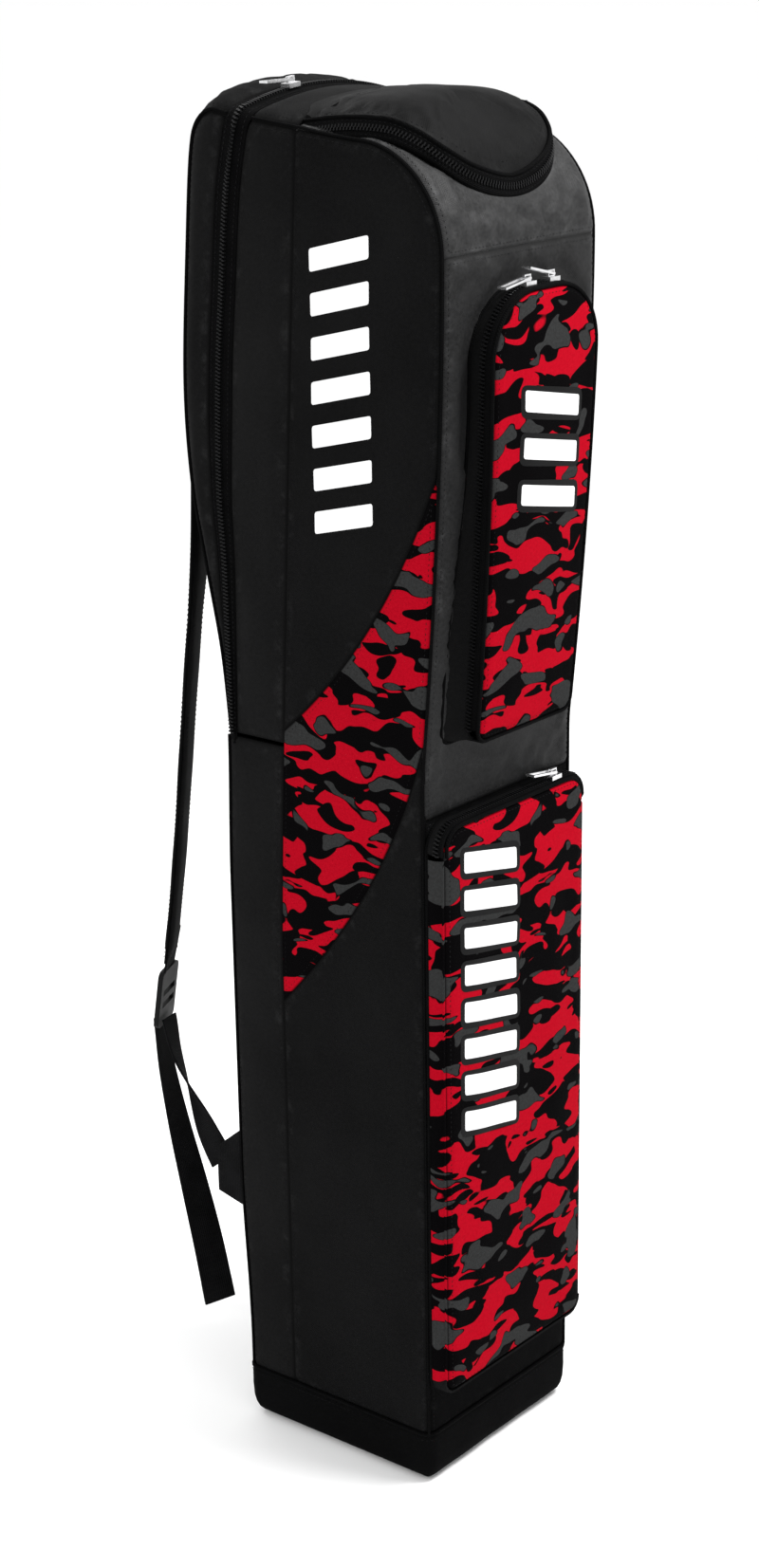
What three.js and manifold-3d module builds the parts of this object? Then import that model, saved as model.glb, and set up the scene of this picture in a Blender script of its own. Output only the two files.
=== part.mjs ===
// Upright stick bag: a tall padded fabric case with a domed lid, two front pockets,
// a zipped rear compartment and a pair of shoulder straps.
// Millimetres, +Z up. The origin is the centre of the flat base, the pockets face -Y,
// the shoulder straps hang on the +Y side, and the bag is alike left and right.
import * as THREE from "three";
import { mergeVertices } from "three/addons/utils/BufferGeometryUtils.js";
import Module from "manifold-3d";

const wasm = await Module();
wasm.setup();

// ---- driving dimensions -------------------------------------------------------------
const WIDTH = 170; // across the side panels
const DEPTH = 172; // front to back at the base
const GAP = 0.3; // clearance between two pieces sewn side by side
const WALL = 3; // padded wall
const TAPE = 2; // webbing, tapes and patches

const CAP_TOP = 40; // seam between the base cap and the walls
const CAP_CORNER = 12;
const BOARD = { inset: 8, thick: 3, lift: 0.5 };

const WAIST_Z = 540; // the front starts to lean out and the rear compartment starts here
const YOKE_SEAM_Z = 882; // seam under the front yoke
const FRONT_PANEL_SEAM_Z = 508; // seam behind the top of the lower pocket
const FRONT_FOOT_LEAN = 2;
const FRONT_LEAN = 21;
const FRONT_LEAN_POWER = 1.7;
const TOP_ARC = { y: -37, z: 883, r: 72 };
const TOP_SLOPE = 0.107; // the top rises towards the back
const LID_HINGE_Y = 11;
const CROWN = { rise: 13, from: 905, full: 955 }; // the top behind the lid arches across the bag

const REAR_SEAM = { y: 42, z: 388, yTop: 11, zTop: 950, power: 1.15 };
const LOWER_ARC = [[-90, 562], [-58, 452], [42, 347]]; // lower edge of the side band
const UPPER_ARC = [[-104, 752], [-60, 630], [32, 550]]; // upper edge of the side band
const BAND_STEPS = 14;

const ZIP_LINE = [[81.5, 541], [82.5, 657], [85, 712], [82.5, 788], [76.5, 854], [70, 916], [59.5, 966]];
const ZIP_HALF_LOW = 3.5; // half width of the rear zip band at its foot
const ZIP_HALF_HIGH = 10.5; // and from ZIP_FULL_Z up
const ZIP_FULL_Z = 760;
const SHELL_LINE = [[89, 546], [95, 600], [107, 661], [117, 715], [120, 785], [113, 880], [107, 938]];
const SHELL_TOP = [[101, 958], [87, 968]];
const DIVIDER_LINE = [[76, 545], [76, 700], [70, 800], [61, 880], [50, 955]];

const LID = { half: 79, yFlat: -45, reach: 59, power: 3, rise: 9.5, frontRise: 8.5, crown: 7, seat: 1.2 };
const UPPER_POCKET = { half: 58, halfLow: 54, bottom: 558, straight: 760, top: 858, corner: 45, foot: 10, proud: 21 };
const LOWER_POCKET = { half: 83, bottom: 75, top: 505, corner: 18, foot: 12, proud: 16 };
const POCKET_SPLIT = 0.55; // where the zip runs between a pocket's gusset and its rim
const POCKET_SEAT = 0.9; // clearance between a pocket and the wall behind it

const STRAP = { padWide: 40, padNarrow: 28, padThick: 7, web: 25, webThick: 1.6 };
const LOCK = { wide: 34, tall: 46, thick: 4, bar: 5, slot: 5 };

// ---- colours ------------------------------------------------------------------------
const FABRIC = { black: 0x17181a, grey: 0x55575a, dark: 0x2b2c2f, camo: 0xc81030, web: 0x101012 };
const METAL = { color: 0xc9ccd0, metalness: 0.9, roughness: 0.3 };
const PLASTIC = { color: 0x141416, metalness: 0, roughness: 0.45 };
const cloth = (color) => ({ color, metalness: 0, roughness: 0.9 });

const bag = new THREE.Group();

function add(name, geometry, look) {
  const mesh = new THREE.Mesh(geometry, new THREE.MeshStandardMaterial(look));
  mesh.name = name;
  bag.add(mesh);
  return mesh;
}

// ---- solids -------------------------------------------------------------------------
function toSolid(geometry) {
  const bare = geometry.clone();
  bare.deleteAttribute("normal");
  bare.deleteAttribute("uv");
  const merged = mergeVertices(bare, 1e-3);
  return new wasm.Manifold(
    new wasm.Mesh({
      numProp: 3,
      vertProperties: merged.attributes.position.array,
      triVerts: new Uint32Array(merged.index.array),
    }),
  );
}

function toGeometry(solid) {
  const mesh = solid.getMesh();
  const geometry = new THREE.BufferGeometry();
  geometry.setAttribute("position", new THREE.BufferAttribute(mesh.vertProperties, 3));
  geometry.setIndex(new THREE.BufferAttribute(mesh.triVerts, 1));
  geometry.computeVertexNormals();
  return geometry;
}

const meet = (a, b) => toGeometry(toSolid(a).intersect(toSolid(b)));
const cut = (a, b) => toGeometry(toSolid(a).subtract(toSolid(b)));
const join = (...parts) => toGeometry(parts.map(toSolid).reduce((sum, next) => sum.add(next)));

function prism(points, depth, holes = [], steps = 1) {
  const shape = new THREE.Shape(points.map(([a, b]) => new THREE.Vector2(a, b)));
  for (const hole of holes) {
    shape.holes.push(new THREE.Path(hole.map(([a, b]) => new THREE.Vector2(a, b))));
  }
  return new THREE.ExtrudeGeometry(shape, { depth, steps, bevelEnabled: false });
}

const AXES = {
  x: new THREE.Vector3(1, 0, 0),
  y: new THREE.Vector3(0, 1, 0),
  z: new THREE.Vector3(0, 0, 1),
  back: new THREE.Vector3(0, -1, 0),
};

// An outline of (y, z) points, extruded along X from x0 to x1.
function alongX(points, x0, x1, steps = 1) {
  const turn = new THREE.Matrix4().makeBasis(AXES.y, AXES.z, AXES.x);
  return prism(points, x1 - x0, [], steps).applyMatrix4(turn).translate(x0, 0, 0);
}

// An outline of (x, z) points, extruded towards -Y from y0 to y1, y1 being the lower.
function alongY(points, y0, y1, holes = []) {
  const turn = new THREE.Matrix4().makeBasis(AXES.x, AXES.z, AXES.back);
  return prism(points, y0 - y1, holes).applyMatrix4(turn).translate(0, y0, 0);
}

// An outline of (x, y) points, extruded up from z0 to z1.
function alongZ(points, z0, z1, holes = []) {
  return prism(points, z1 - z0, holes).translate(0, 0, z0);
}

// ---- curves -------------------------------------------------------------------------
const range = (n) => Array.from({ length: n + 1 }, (_, i) => i / n);
const lerp = (a, b, t) => a + (b - a) * t;

// The y of a line of (y, z) points at a height.
function lineAt(points, z) {
  for (let i = 1; i < points.length; i++) {
    const [y0, z0] = points[i - 1];
    const [y1, z1] = points[i];
    if (z <= z1) return lerp(y0, y1, (z - z0) / (z1 - z0));
  }
  return points[points.length - 1][0];
}

function bezier([a, b, c], steps) {
  const curve = new THREE.QuadraticBezierCurve(
    new THREE.Vector2(...a),
    new THREE.Vector2(...b),
    new THREE.Vector2(...c),
  );
  return curve.getPoints(steps).map((p) => [p.x, p.y]);
}

// The front face of the walls, as y at a height.
function frontY(z) {
  const foot = -DEPTH / 2 - (FRONT_FOOT_LEAN * Math.min(z, WAIST_Z)) / WAIST_Z;
  const t = Math.min(Math.max((z - WAIST_Z) / (TOP_ARC.z - WAIST_Z), 0), 1);
  return foot - FRONT_LEAN * (1 - (1 - t) ** FRONT_LEAN_POWER);
}

// The top of the walls, as z at a depth.
function topZ(y) {
  if (y >= TOP_ARC.y) return TOP_ARC.z + TOP_ARC.r + (y - TOP_ARC.y) * TOP_SLOPE;
  return TOP_ARC.z + Math.sqrt(Math.max(TOP_ARC.r ** 2 - (y - TOP_ARC.y) ** 2, 0));
}

function frontLine(z0, z1, steps, inset = 0) {
  return range(steps).map((t) => [frontY(lerp(z0, z1, t)) + inset, lerp(z0, z1, t)]);
}

function topArc(steps, inset = 0) {
  return range(steps).map((t) => {
    const a = Math.PI * (1 - t / 2);
    const r = TOP_ARC.r - inset;
    return [TOP_ARC.y + r * Math.cos(a), TOP_ARC.z + r * Math.sin(a)];
  });
}

function rearSeamY(z) {
  const t = Math.max((z - REAR_SEAM.z) / (REAR_SEAM.zTop - REAR_SEAM.z), 0);
  return REAR_SEAM.y - (REAR_SEAM.y - REAR_SEAM.yTop) * t ** REAR_SEAM.power;
}

const seamLine = (z0, z1, steps, shift) =>
  range(steps).map((t) => [rearSeamY(lerp(z0, z1, t)) + shift, lerp(z0, z1, t)]);

const zipHalf = (z) =>
  lerp(ZIP_HALF_LOW, ZIP_HALF_HIGH, Math.min(Math.max((z - WAIST_Z) / (ZIP_FULL_Z - WAIST_Z), 0), 1));

// A line along the rear zip band: share -1 is its front edge, 0 its middle, 1 its rear edge.
function zipLine(share, shift) {
  return ZIP_LINE.map(([y, z]) => [y + share * zipHalf(z) + shift, z]);
}

// The same line with its last point brought to the top of the walls.
function toTop(line) {
  const [y] = line[line.length - 1];
  return [...line.slice(0, -1), [y, topZ(y)]];
}

// A strip of wall: an outer line of (y, z) points and the same line moved inwards.
const strip = (outer, inner) => [...outer, ...inner.slice().reverse()];

// ---- walls --------------------------------------------------------------------------
const SIDE = WIDTH / 2;
const INNER = SIDE - WALL - GAP; // half width of the pieces that fit between the sides
const WALL_FOOT = CAP_TOP + GAP;
const CROWN_RADIUS = (SIDE ** 2 + CROWN.rise ** 2) / (2 * CROWN.rise);
const CROWN_STEPS = 12;
const crownAt = (x) => Math.sqrt(CROWN_RADIUS ** 2 - x ** 2) - (CROWN_RADIUS - CROWN.rise);

// The same extrusion, arched across the bag where it is near the top.
function crowned(points, x0, x1) {
  const geometry = alongX(points, x0, x1, CROWN_STEPS);
  const position = geometry.getAttribute("position");
  for (let i = 0; i < position.count; i++) {
    const z = position.getZ(i);
    const share = Math.min(Math.max((z - CROWN.from) / (CROWN.full - CROWN.from), 0), 1);
    position.setZ(i, z + share * crownAt(position.getX(i)));
  }
  return geometry;
}

function bothSides(name, outline, look) {
  add(name + "_left", alongX(outline, -SIDE, -SIDE + WALL), look);
  add(name + "_right", alongX(outline, SIDE - WALL, SIDE), look);
}

function roundedRect(halfX, y0, y1, r, steps = 4) {
  const corners = [
    [halfX - r, y1 - r, 0],
    [-halfX + r, y1 - r, 1],
    [-halfX + r, y0 + r, 2],
    [halfX - r, y0 + r, 3],
  ];
  return corners.flatMap(([cx, cy, quarter]) =>
    range(steps).map((t) => {
      const a = ((quarter + t) * Math.PI) / 2;
      return [cx + r * Math.cos(a), cy + r * Math.sin(a)];
    }),
  );
}

function makeBase() {
  const outer = roundedRect(SIDE, -DEPTH / 2, DEPTH / 2, CAP_CORNER);
  const inner = roundedRect(SIDE - WALL, -DEPTH / 2 + WALL, DEPTH / 2 - WALL, CAP_CORNER - WALL);
  add("base_cap", cut(alongZ(outer, 0, CAP_TOP), alongZ(inner, WALL, CAP_TOP + 1)), cloth(FABRIC.black));
  const half = SIDE - BOARD.inset;
  const board = roundedRect(half, -DEPTH / 2 + BOARD.inset, DEPTH / 2 - BOARD.inset, CAP_CORNER);
  const foot = WALL + BOARD.lift;
  add("base_board", alongZ(board, foot, foot + BOARD.thick), PLASTIC);
}

function makeSides() {
  const lowerArc = bezier(LOWER_ARC, BAND_STEPS);
  const upperArc = bezier(UPPER_ARC, BAND_STEPS);
  const arcFoot = lowerArc[0][1];
  const bandFoot = arcFoot + GAP;
  const fit = (line, rise) => line.map(([y, z]) => [Math.min(y, rearSeamY(z)), z + rise]);
  const low = fit(lowerArc, 0);
  const lowBand = fit(lowerArc, GAP);
  const highBand = fit(upperArc, 0);
  const high = fit(upperArc, GAP);
  low[0][0] = frontY(low[0][1]);
  lowBand[0][0] = frontY(bandFoot);
  highBand[0][0] = frontY(highBand[0][1]);
  high[0][0] = frontY(high[0][1]);

  const lower = [[REAR_SEAM.y, WALL_FOOT], ...low.slice().reverse(), ...frontLine(WALL_FOOT, arcFoot - 5, 4).reverse()];
  bothSides("side_lower", lower, cloth(FABRIC.black));

  const bandRearLow = lowBand[lowBand.length - 1][1];
  const bandRearHigh = highBand[highBand.length - 1][1];
  const band = [
    ...lowBand,
    ...seamLine(bandRearLow + 4, bandRearHigh - 4, 6, 0),
    ...highBand.slice().reverse(),
    ...frontLine(bandFoot + 5, highBand[0][1] - 5, 8).reverse(),
  ];
  bothSides("side_band", band, cloth(FABRIC.camo));

  const upper = [
    ...high,
    ...seamLine(high[high.length - 1][1] + 4, REAR_SEAM.zTop, 10, 0),
    [REAR_SEAM.yTop - 0.5, topZ(REAR_SEAM.yTop)],
    ...topArc(10).reverse(),
    ...frontLine(high[0][1] + 5, TOP_ARC.z - 6, 6).reverse(),
  ];
  bothSides("side_upper", upper, cloth(FABRIC.black));

  const seam = WAIST_Z - 8;
  const gussetLow = [
    ...seamLine(WALL_FOOT, seam, 10, GAP),
    [DEPTH / 2, seam],
    [DEPTH / 2, WALL_FOOT],
  ];
  bothSides("rear_gusset_lower", gussetLow, cloth(FABRIC.black));
  const tapeFront = toTop(zipLine(-1, -GAP));
  const gussetHigh = [
    ...seamLine(seam + GAP, REAR_SEAM.zTop, 10, GAP),
    [REAR_SEAM.yTop, topZ(REAR_SEAM.yTop)],
    ...tapeFront.slice().reverse(),
    [tapeFront[0][0], seam + GAP],
  ];
  bothSides("rear_gusset_upper", gussetHigh, cloth(FABRIC.dark));
}

function makeFront() {
  const low = strip(
    frontLine(WALL_FOOT, FRONT_PANEL_SEAM_Z, 6),
    frontLine(WALL_FOOT, FRONT_PANEL_SEAM_Z, 6, WALL),
  );
  add("front_lower_panel", alongX(low, -INNER, INNER), cloth(FABRIC.black));
  const foot = FRONT_PANEL_SEAM_Z + GAP;
  const high = strip(frontLine(foot, YOKE_SEAM_Z, 10), frontLine(foot, YOKE_SEAM_Z, 10, WALL));
  add("front_upper_panel", alongX(high, -INNER, INNER), cloth(FABRIC.grey));

  const rear = LID_HINGE_Y - GAP;
  const outer = [[frontY(YOKE_SEAM_Z + GAP), YOKE_SEAM_Z + GAP], ...topArc(14), [rear, topZ(rear)]];
  const inner = [
    [frontY(YOKE_SEAM_Z + GAP) + WALL, YOKE_SEAM_Z + GAP],
    ...topArc(14, WALL),
    [rear, topZ(rear) - WALL],
  ];
  const yoke = alongX(strip(outer, inner), -INNER, INNER);
  add("front_yoke", cut(yoke, alongZ(lidOutline(WALL), 850, 1000)), cloth(FABRIC.grey));
}

function makeBack() {
  const foot = DEPTH / 2;
  const outer = [[foot, WALL_FOOT], [foot, WAIST_Z - 12], ...DIVIDER_LINE];
  const inner = outer.map(([y, z]) => [y - WALL, z]);
  inner[1][1] -= 2;
  add("back_panel", alongX(strip(outer, inner), -INNER, INNER), cloth(FABRIC.black));
  const rear = ZIP_LINE[ZIP_LINE.length - 1][0] - ZIP_HALF_HIGH - GAP;
  const top = [
    [LID_HINGE_Y, topZ(LID_HINGE_Y)],
    [LID_HINGE_Y, topZ(LID_HINGE_Y) - WALL],
    [rear, topZ(rear) - WALL],
    [rear, topZ(rear)],
  ];
  add("rear_gusset_top", crowned(top, -INNER, INNER), cloth(FABRIC.dark));
}

// ---- rear compartment: its zip band and its hinged shell -----------------------------
function zipHalfArch(name, fromShare, toShare) {
  const front = toTop(zipLine(fromShare, fromShare === 0 ? GAP : 0));
  const rear = toTop(zipLine(toShare, toShare === 0 ? -GAP : 0));
  const edge = [...front, ...rear.slice().reverse()];
  const left = alongX(edge, -SIDE, -SIDE + TAPE);
  const right = alongX(edge, SIDE - TAPE, SIDE);
  const [y0, y1] = [front, rear].map((line) => line[line.length - 1][0]);
  const over = [
    [y0 + 2 * GAP, topZ(y0)],
    [y0 + 2 * GAP, topZ(y0) - TAPE],
    [y1, topZ(y1) - TAPE],
    [y1, topZ(y1)],
  ];
  add(name, join(left, right, crowned(over, -SIDE + 1, SIDE - 1)), cloth(FABRIC.web));
}

function shellOutline(inset) {
  const line = [...SHELL_LINE, ...SHELL_TOP];
  const rear = ZIP_LINE[ZIP_LINE.length - 1][0] + ZIP_HALF_HIGH + GAP;
  const outer = [...line, [rear, topZ(rear)]];
  if (!inset) return outer;
  return outer.map(([y, z], i) => {
    const [y0, z0] = outer[Math.max(i - 1, 0)];
    const [y1, z1] = outer[Math.min(i + 1, outer.length - 1)];
    const length = Math.hypot(y1 - y0, z1 - z0);
    return [y - (inset * (z1 - z0)) / length, z + (inset * (y1 - y0)) / length];
  });
}

function makeRearCompartment() {
  zipHalfArch("rear_zip_tape_body", -1, 0);
  zipHalfArch("rear_zip_tape_shell", 0, 1);
  const back = crowned(strip(shellOutline(0), shellOutline(WALL)), -INNER, INNER);
  add("rear_shell_back", back, cloth(FABRIC.dark));
  const side = [...toTop(zipLine(1, GAP)), ...shellOutline(0).slice(0, -1).reverse()];
  bothSides("rear_shell_side", side, cloth(FABRIC.dark));
}

// ---- lid ----------------------------------------------------------------------------
// The lid's plan outline, moved inwards by inset.
function lidOutline(inset) {
  const half = LID.half - inset;
  const reach = LID.reach - inset;
  const nose = range(24).map((t) => {
    const a = Math.PI * (1 - t);
    const c = Math.cos(a);
    const s = Math.sin(a);
    const x = Math.sign(c) * Math.abs(c) ** (2 / LID.power) * half;
    return [x, LID.yFlat - s ** (2 / LID.power) * reach];
  });
  const rear = LID_HINGE_Y - GAP;
  return [...nose, [half, rear], [-half, rear]];
}

const bandRise = (y) => LID.rise + LID.frontRise * (Math.max(LID.yFlat - y, 0) / LID.reach) ** 2;

// A line of (y, z) points over the lid's length, a share of the band's height plus rise above the top.
function overTop(share, rise) {
  const front = LID.yFlat - LID.reach - 1;
  return range(20).map((t) => {
    const y = lerp(front, LID_HINGE_Y, t);
    return [y, topZ(y) + share * bandRise(y) + rise];
  });
}

function lidRing(share0, rise0, share1, rise1) {
  const region = alongX(strip(overTop(share0, rise0), overTop(share1, rise1)), -SIDE, SIDE);
  const opening = lidOutline(WALL);
  const last = opening.length;
  opening[last - 1][1] += 5;
  opening[last - 2][1] += 5;
  const ring = cut(alongZ(lidOutline(0), 860, 1000), alongZ(opening, 850, 1010));
  return meet(ring, region);
}

function makeLid() {
  add("lid_collar", lidRing(0, LID.seat, 0.5, 0), cloth(FABRIC.black));
  add("lid_skirt", lidRing(0.5, 2 * GAP, 1, LID.crown - WALL - GAP), cloth(FABRIC.black));
  const panel = alongX(strip(overTop(1, LID.crown - WALL), overTop(1, LID.crown)), -SIDE, SIDE);
  add("lid_panel", meet(alongZ(lidOutline(0), 860, 1010), panel), cloth(FABRIC.dark));
}

// ---- pockets ------------------------------------------------------------------------
// A pocket's outline in (x, z), its lower half width, upper half width and corner radii.
function pocketOutline(p, inset) {
  const low = (p.halfLow ?? p.half) - inset;
  const high = p.half - inset;
  const corner = p.corner - inset;
  const foot = Math.max(p.foot - inset, 1);
  const bottom = p.bottom + inset;
  const top = p.top - inset;
  const arc = (cx, cz, r, quarter) =>
    range(6).map((t) => {
      const a = ((quarter + t) * Math.PI) / 2;
      return [cx + r * Math.cos(a), cz + r * Math.sin(a)];
    });
  return [
    ...arc(high - corner, top - corner, corner, 0),
    ...arc(-high + corner, top - corner, corner, 1),
    ...arc(-low + foot, bottom + foot, foot, 2),
    ...arc(low - foot, bottom + foot, foot, 3),
  ];
}

// The pocket's outline, or a ring of it one wall thick, between two depths in front of the wall.
function pocketSlice(p, depth0, depth1, ring) {
  const z0 = p.bottom - 5;
  const z1 = p.top + 5;
  const slab = strip(frontLine(z0, z1, 10, -depth1), frontLine(z0, z1, 10, -depth0));
  const holes = ring ? [pocketOutline(p, TAPE)] : [];
  const block = alongY(pocketOutline(p, 0), -60, -160, holes);
  return meet(block, alongX(slab, -SIDE, SIDE));
}

function makePocket(name, p) {
  const zip = p.proud * POCKET_SPLIT;
  add(name + "_gusset", pocketSlice(p, POCKET_SEAT, zip, true), cloth(FABRIC.web));
  const rimFoot = alongX([[-200, p.bottom + p.foot], [0, p.bottom + p.foot], [0, 1000], [-200, 1000]], -SIDE, SIDE);
  const rim = pocketSlice(p, zip + 1, p.proud - WALL - GAP, true);
  add(name + "_rim", meet(rim, rimFoot), cloth(FABRIC.web));
  add(name + "_front", pocketSlice(p, p.proud - WALL, p.proud, false), cloth(FABRIC.camo));
}

// ---- shoulder straps ----------------------------------------------------------------
// A flat strap: centre points, with its width, thickness and the heading of its width
// direction (degrees from +X) given at each point.
function strapGeometry(points, steps, section, heading) {
  const curve = new THREE.CatmullRomCurve3(points.map((p) => new THREE.Vector3(...p)));
  const vertices = [];
  const faces = [];
  for (const t of range(steps)) {
    const centre = curve.getPoint(t);
    const along = curve.getTangent(t);
    const a = THREE.MathUtils.degToRad(heading(t));
    const across = new THREE.Vector3(Math.cos(a), Math.sin(a), 0);
    across.addScaledVector(along, -across.dot(along)).normalize();
    const out = new THREE.Vector3().crossVectors(along, across);
    const [wide, thick] = section(t);
    for (const [u, v] of [[-1, -1], [1, -1], [1, 1], [-1, 1]]) {
      const corner = centre.clone();
      corner.addScaledVector(across, (u * wide) / 2).addScaledVector(out, (v * thick) / 2);
      vertices.push(corner.x, corner.y, corner.z);
    }
  }
  for (let i = 0; i < steps; i++) {
    for (let k = 0; k < 4; k++) {
      const a = 4 * i + k;
      const b = 4 * i + ((k + 1) % 4);
      faces.push(a, b, b + 4, a, b + 4, a + 4);
    }
  }
  const end = 4 * steps;
  faces.push(0, 2, 1, 0, 3, 2, end, end + 1, end + 2, end, end + 2, end + 3);
  const geometry = new THREE.BufferGeometry();
  geometry.setAttribute("position", new THREE.Float32BufferAttribute(vertices, 3));
  geometry.setIndex(faces);
  geometry.computeVertexNormals();
  return geometry;
}

const PAD_ROUTE = [
  [-46, 125.4, 815],
  [-48, 127.5, 770],
  [-53, 127.5, 720],
  [-60, 130, 655],
  [-65, 135, 590],
  [-67, 142.5, 520],
  [-68, 150, 455],
  [-68, 159, 395],
  [-68, 167.5, 347],
];
const LOCK_PLACE = { x: -68, y: 173.5, z: 315, lean: 8, heading: 23 };
const WEB_ROUTE = [
  [-68, 171.4, 297],
  [-69.5, 163, 268],
  [-73, 146, 241],
  [-77, 128, 218],
  [-79.2, 112, 199],
];
const TAIL_ROUTE = [
  [-68, 180.8, 297],
  [-68.5, 176, 258],
  [-69, 165, 212],
  [-69, 152, 166],
  [-68, 140.5, 119],
  [-66, 132, 71],
];
const PATCH = { x: -46, half: 27, span: [768, 828] };
const TAB = { x: -81.5, rootLow: 170, rootHigh: 234, tipLow: 176, tipHigh: 212, y0: 86.3, y1: 114 };

// The left piece as it is, or its mirror image for the right side.
function sided(geometry, sign) {
  if (sign < 0) return geometry;
  const index = geometry.index.array;
  for (let i = 0; i < index.length; i += 3) {
    [index[i + 1], index[i + 2]] = [index[i + 2], index[i + 1]];
  }
  const position = geometry.getAttribute("position");
  for (let i = 0; i < position.count; i++) position.setX(i, -position.getX(i));
  geometry.computeVertexNormals();
  return geometry;
}

function makeStrap(side, sign) {
  const strap = (route, steps, section, heading) => sided(strapGeometry(route, steps, section, heading), sign);
  const padWidth = (t) => [lerp(STRAP.padWide, STRAP.padNarrow, t), STRAP.padThick];
  const ease = (t) => t * t * (3 - 2 * t);
  const padHeading = (t) => lerp(0, 29, ease(Math.min(t / 0.45, 1)));
  add("strap_pad_" + side, strap(PAD_ROUTE, 24, padWidth, padHeading), cloth(FABRIC.black));

  const webSize = () => [STRAP.web, STRAP.webThick];
  const webHeading = (t) => lerp(LOCK_PLACE.heading, 90, ease(t));
  add("strap_web_" + side, strap(WEB_ROUTE, 14, webSize, webHeading), cloth(FABRIC.web));
  const tailHeading = (t) => lerp(LOCK_PLACE.heading, -26, ease(t));
  add("strap_tail_" + side, strap(TAIL_ROUTE, 14, webSize, tailHeading), cloth(FABRIC.web));

  const half = LOCK.wide / 2;
  const slotHalf = half - LOCK.bar;
  const outline = roundedRect(half, -LOCK.tall / 2, LOCK.tall / 2, 5);
  const slots = [-1, 1].map((k) => {
    const mid = k * (LOCK.slot + LOCK.bar) * 0.5;
    return [
      [-slotHalf, mid - LOCK.slot / 2],
      [slotHalf, mid - LOCK.slot / 2],
      [slotHalf, mid + LOCK.slot / 2],
      [-slotHalf, mid + LOCK.slot / 2],
    ];
  });
  const lock = add("ladder_lock_" + side, alongY(outline, LOCK.thick / 2, -LOCK.thick / 2, slots), PLASTIC);
  const turn = THREE.MathUtils.degToRad(-sign * LOCK_PLACE.heading);
  lock.rotation.set(THREE.MathUtils.degToRad(LOCK_PLACE.lean), 0, turn, "ZXY");
  lock.position.set(-sign * LOCK_PLACE.x, LOCK_PLACE.y, LOCK_PLACE.z);

  const tab = [
    [TAB.y0, TAB.rootLow],
    [TAB.y1, TAB.tipLow],
    [TAB.y1, TAB.tipHigh],
    [TAB.y0, TAB.rootHigh],
  ];
  const x = sign * -TAB.x;
  add("strap_anchor_lower_" + side, alongX(tab, x - TAPE / 2, x + TAPE / 2), cloth(FABRIC.web));

  const face = (z, out) => [lineAt(SHELL_LINE, z) + out, z];
  const [z0, z1] = PATCH.span;
  const heights = [z0, 785, z1];
  const patch = strip(heights.map((z) => face(z, GAP)), heights.map((z) => face(z, GAP + TAPE)));
  const middle = -sign * PATCH.x;
  add("strap_anchor_upper_" + side, alongX(patch, middle - PATCH.half, middle + PATCH.half), cloth(FABRIC.web));
}

// ---- zip sliders and pulls ------------------------------------------------------------
// Each slider straddles its zip: along is the zip's direction and out points off the fabric.
// Its pull is a wire loop that turns on the slider's bridge.
const SLIDER = { long: 11, wide: 8, thick: 3, bridgeLong: 7, bridgeWide: 2, bridgeTall: 4.2 };
const PULL = { long: 27, wide: 7, wire: 1.5, rise: 4.9 };

function box(u0, u1, v0, v1, n0, n1) {
  const geometry = new THREE.BoxGeometry(u1 - u0, v1 - v0, n1 - n0);
  return geometry.translate((u0 + u1) / 2, (v0 + v1) / 2, (n0 + n1) / 2);
}

function makeZip(name, place, along, out, pullTurn) {
  const u = new THREE.Vector3(...along);
  const n = new THREE.Vector3(...out);
  const v = new THREE.Vector3().crossVectors(n, u);
  const group = new THREE.Group();
  const seat = new THREE.Matrix4().makeBasis(u, v, n).setPosition(...place);
  group.applyMatrix4(seat);
  bag.add(group);

  const top = SLIDER.thick + SLIDER.bridgeTall;
  const half = SLIDER.bridgeLong / 2;
  const bridge = cut(
    box(-half, half, -SLIDER.bridgeWide / 2, SLIDER.bridgeWide / 2, SLIDER.thick - 0.5, top),
    box(-half + 1, half - 1, -5, 5, SLIDER.thick + 0.5, top - 1),
  );
  const plate = box(
    -SLIDER.long / 2,
    SLIDER.long / 2,
    -SLIDER.wide / 2,
    SLIDER.wide / 2,
    0,
    SLIDER.thick,
  );
  group.add(add(name + "_slider", join(plate, bridge), METAL));

  const wire = PULL.wire / 2;
  const outer = box(-wire, PULL.long, -PULL.wide / 2, PULL.wide / 2, -wire, wire);
  const inside = PULL.wide / 2 - PULL.wire;
  const hole = box(wire, PULL.long - PULL.wire, -inside, inside, -5, 5);
  const pull = add(name + "_pull", cut(outer, hole), METAL);
  pull.rotation.y = -THREE.MathUtils.degToRad(pullTurn);
  pull.position.z = PULL.rise;
  group.add(pull);
}

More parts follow.
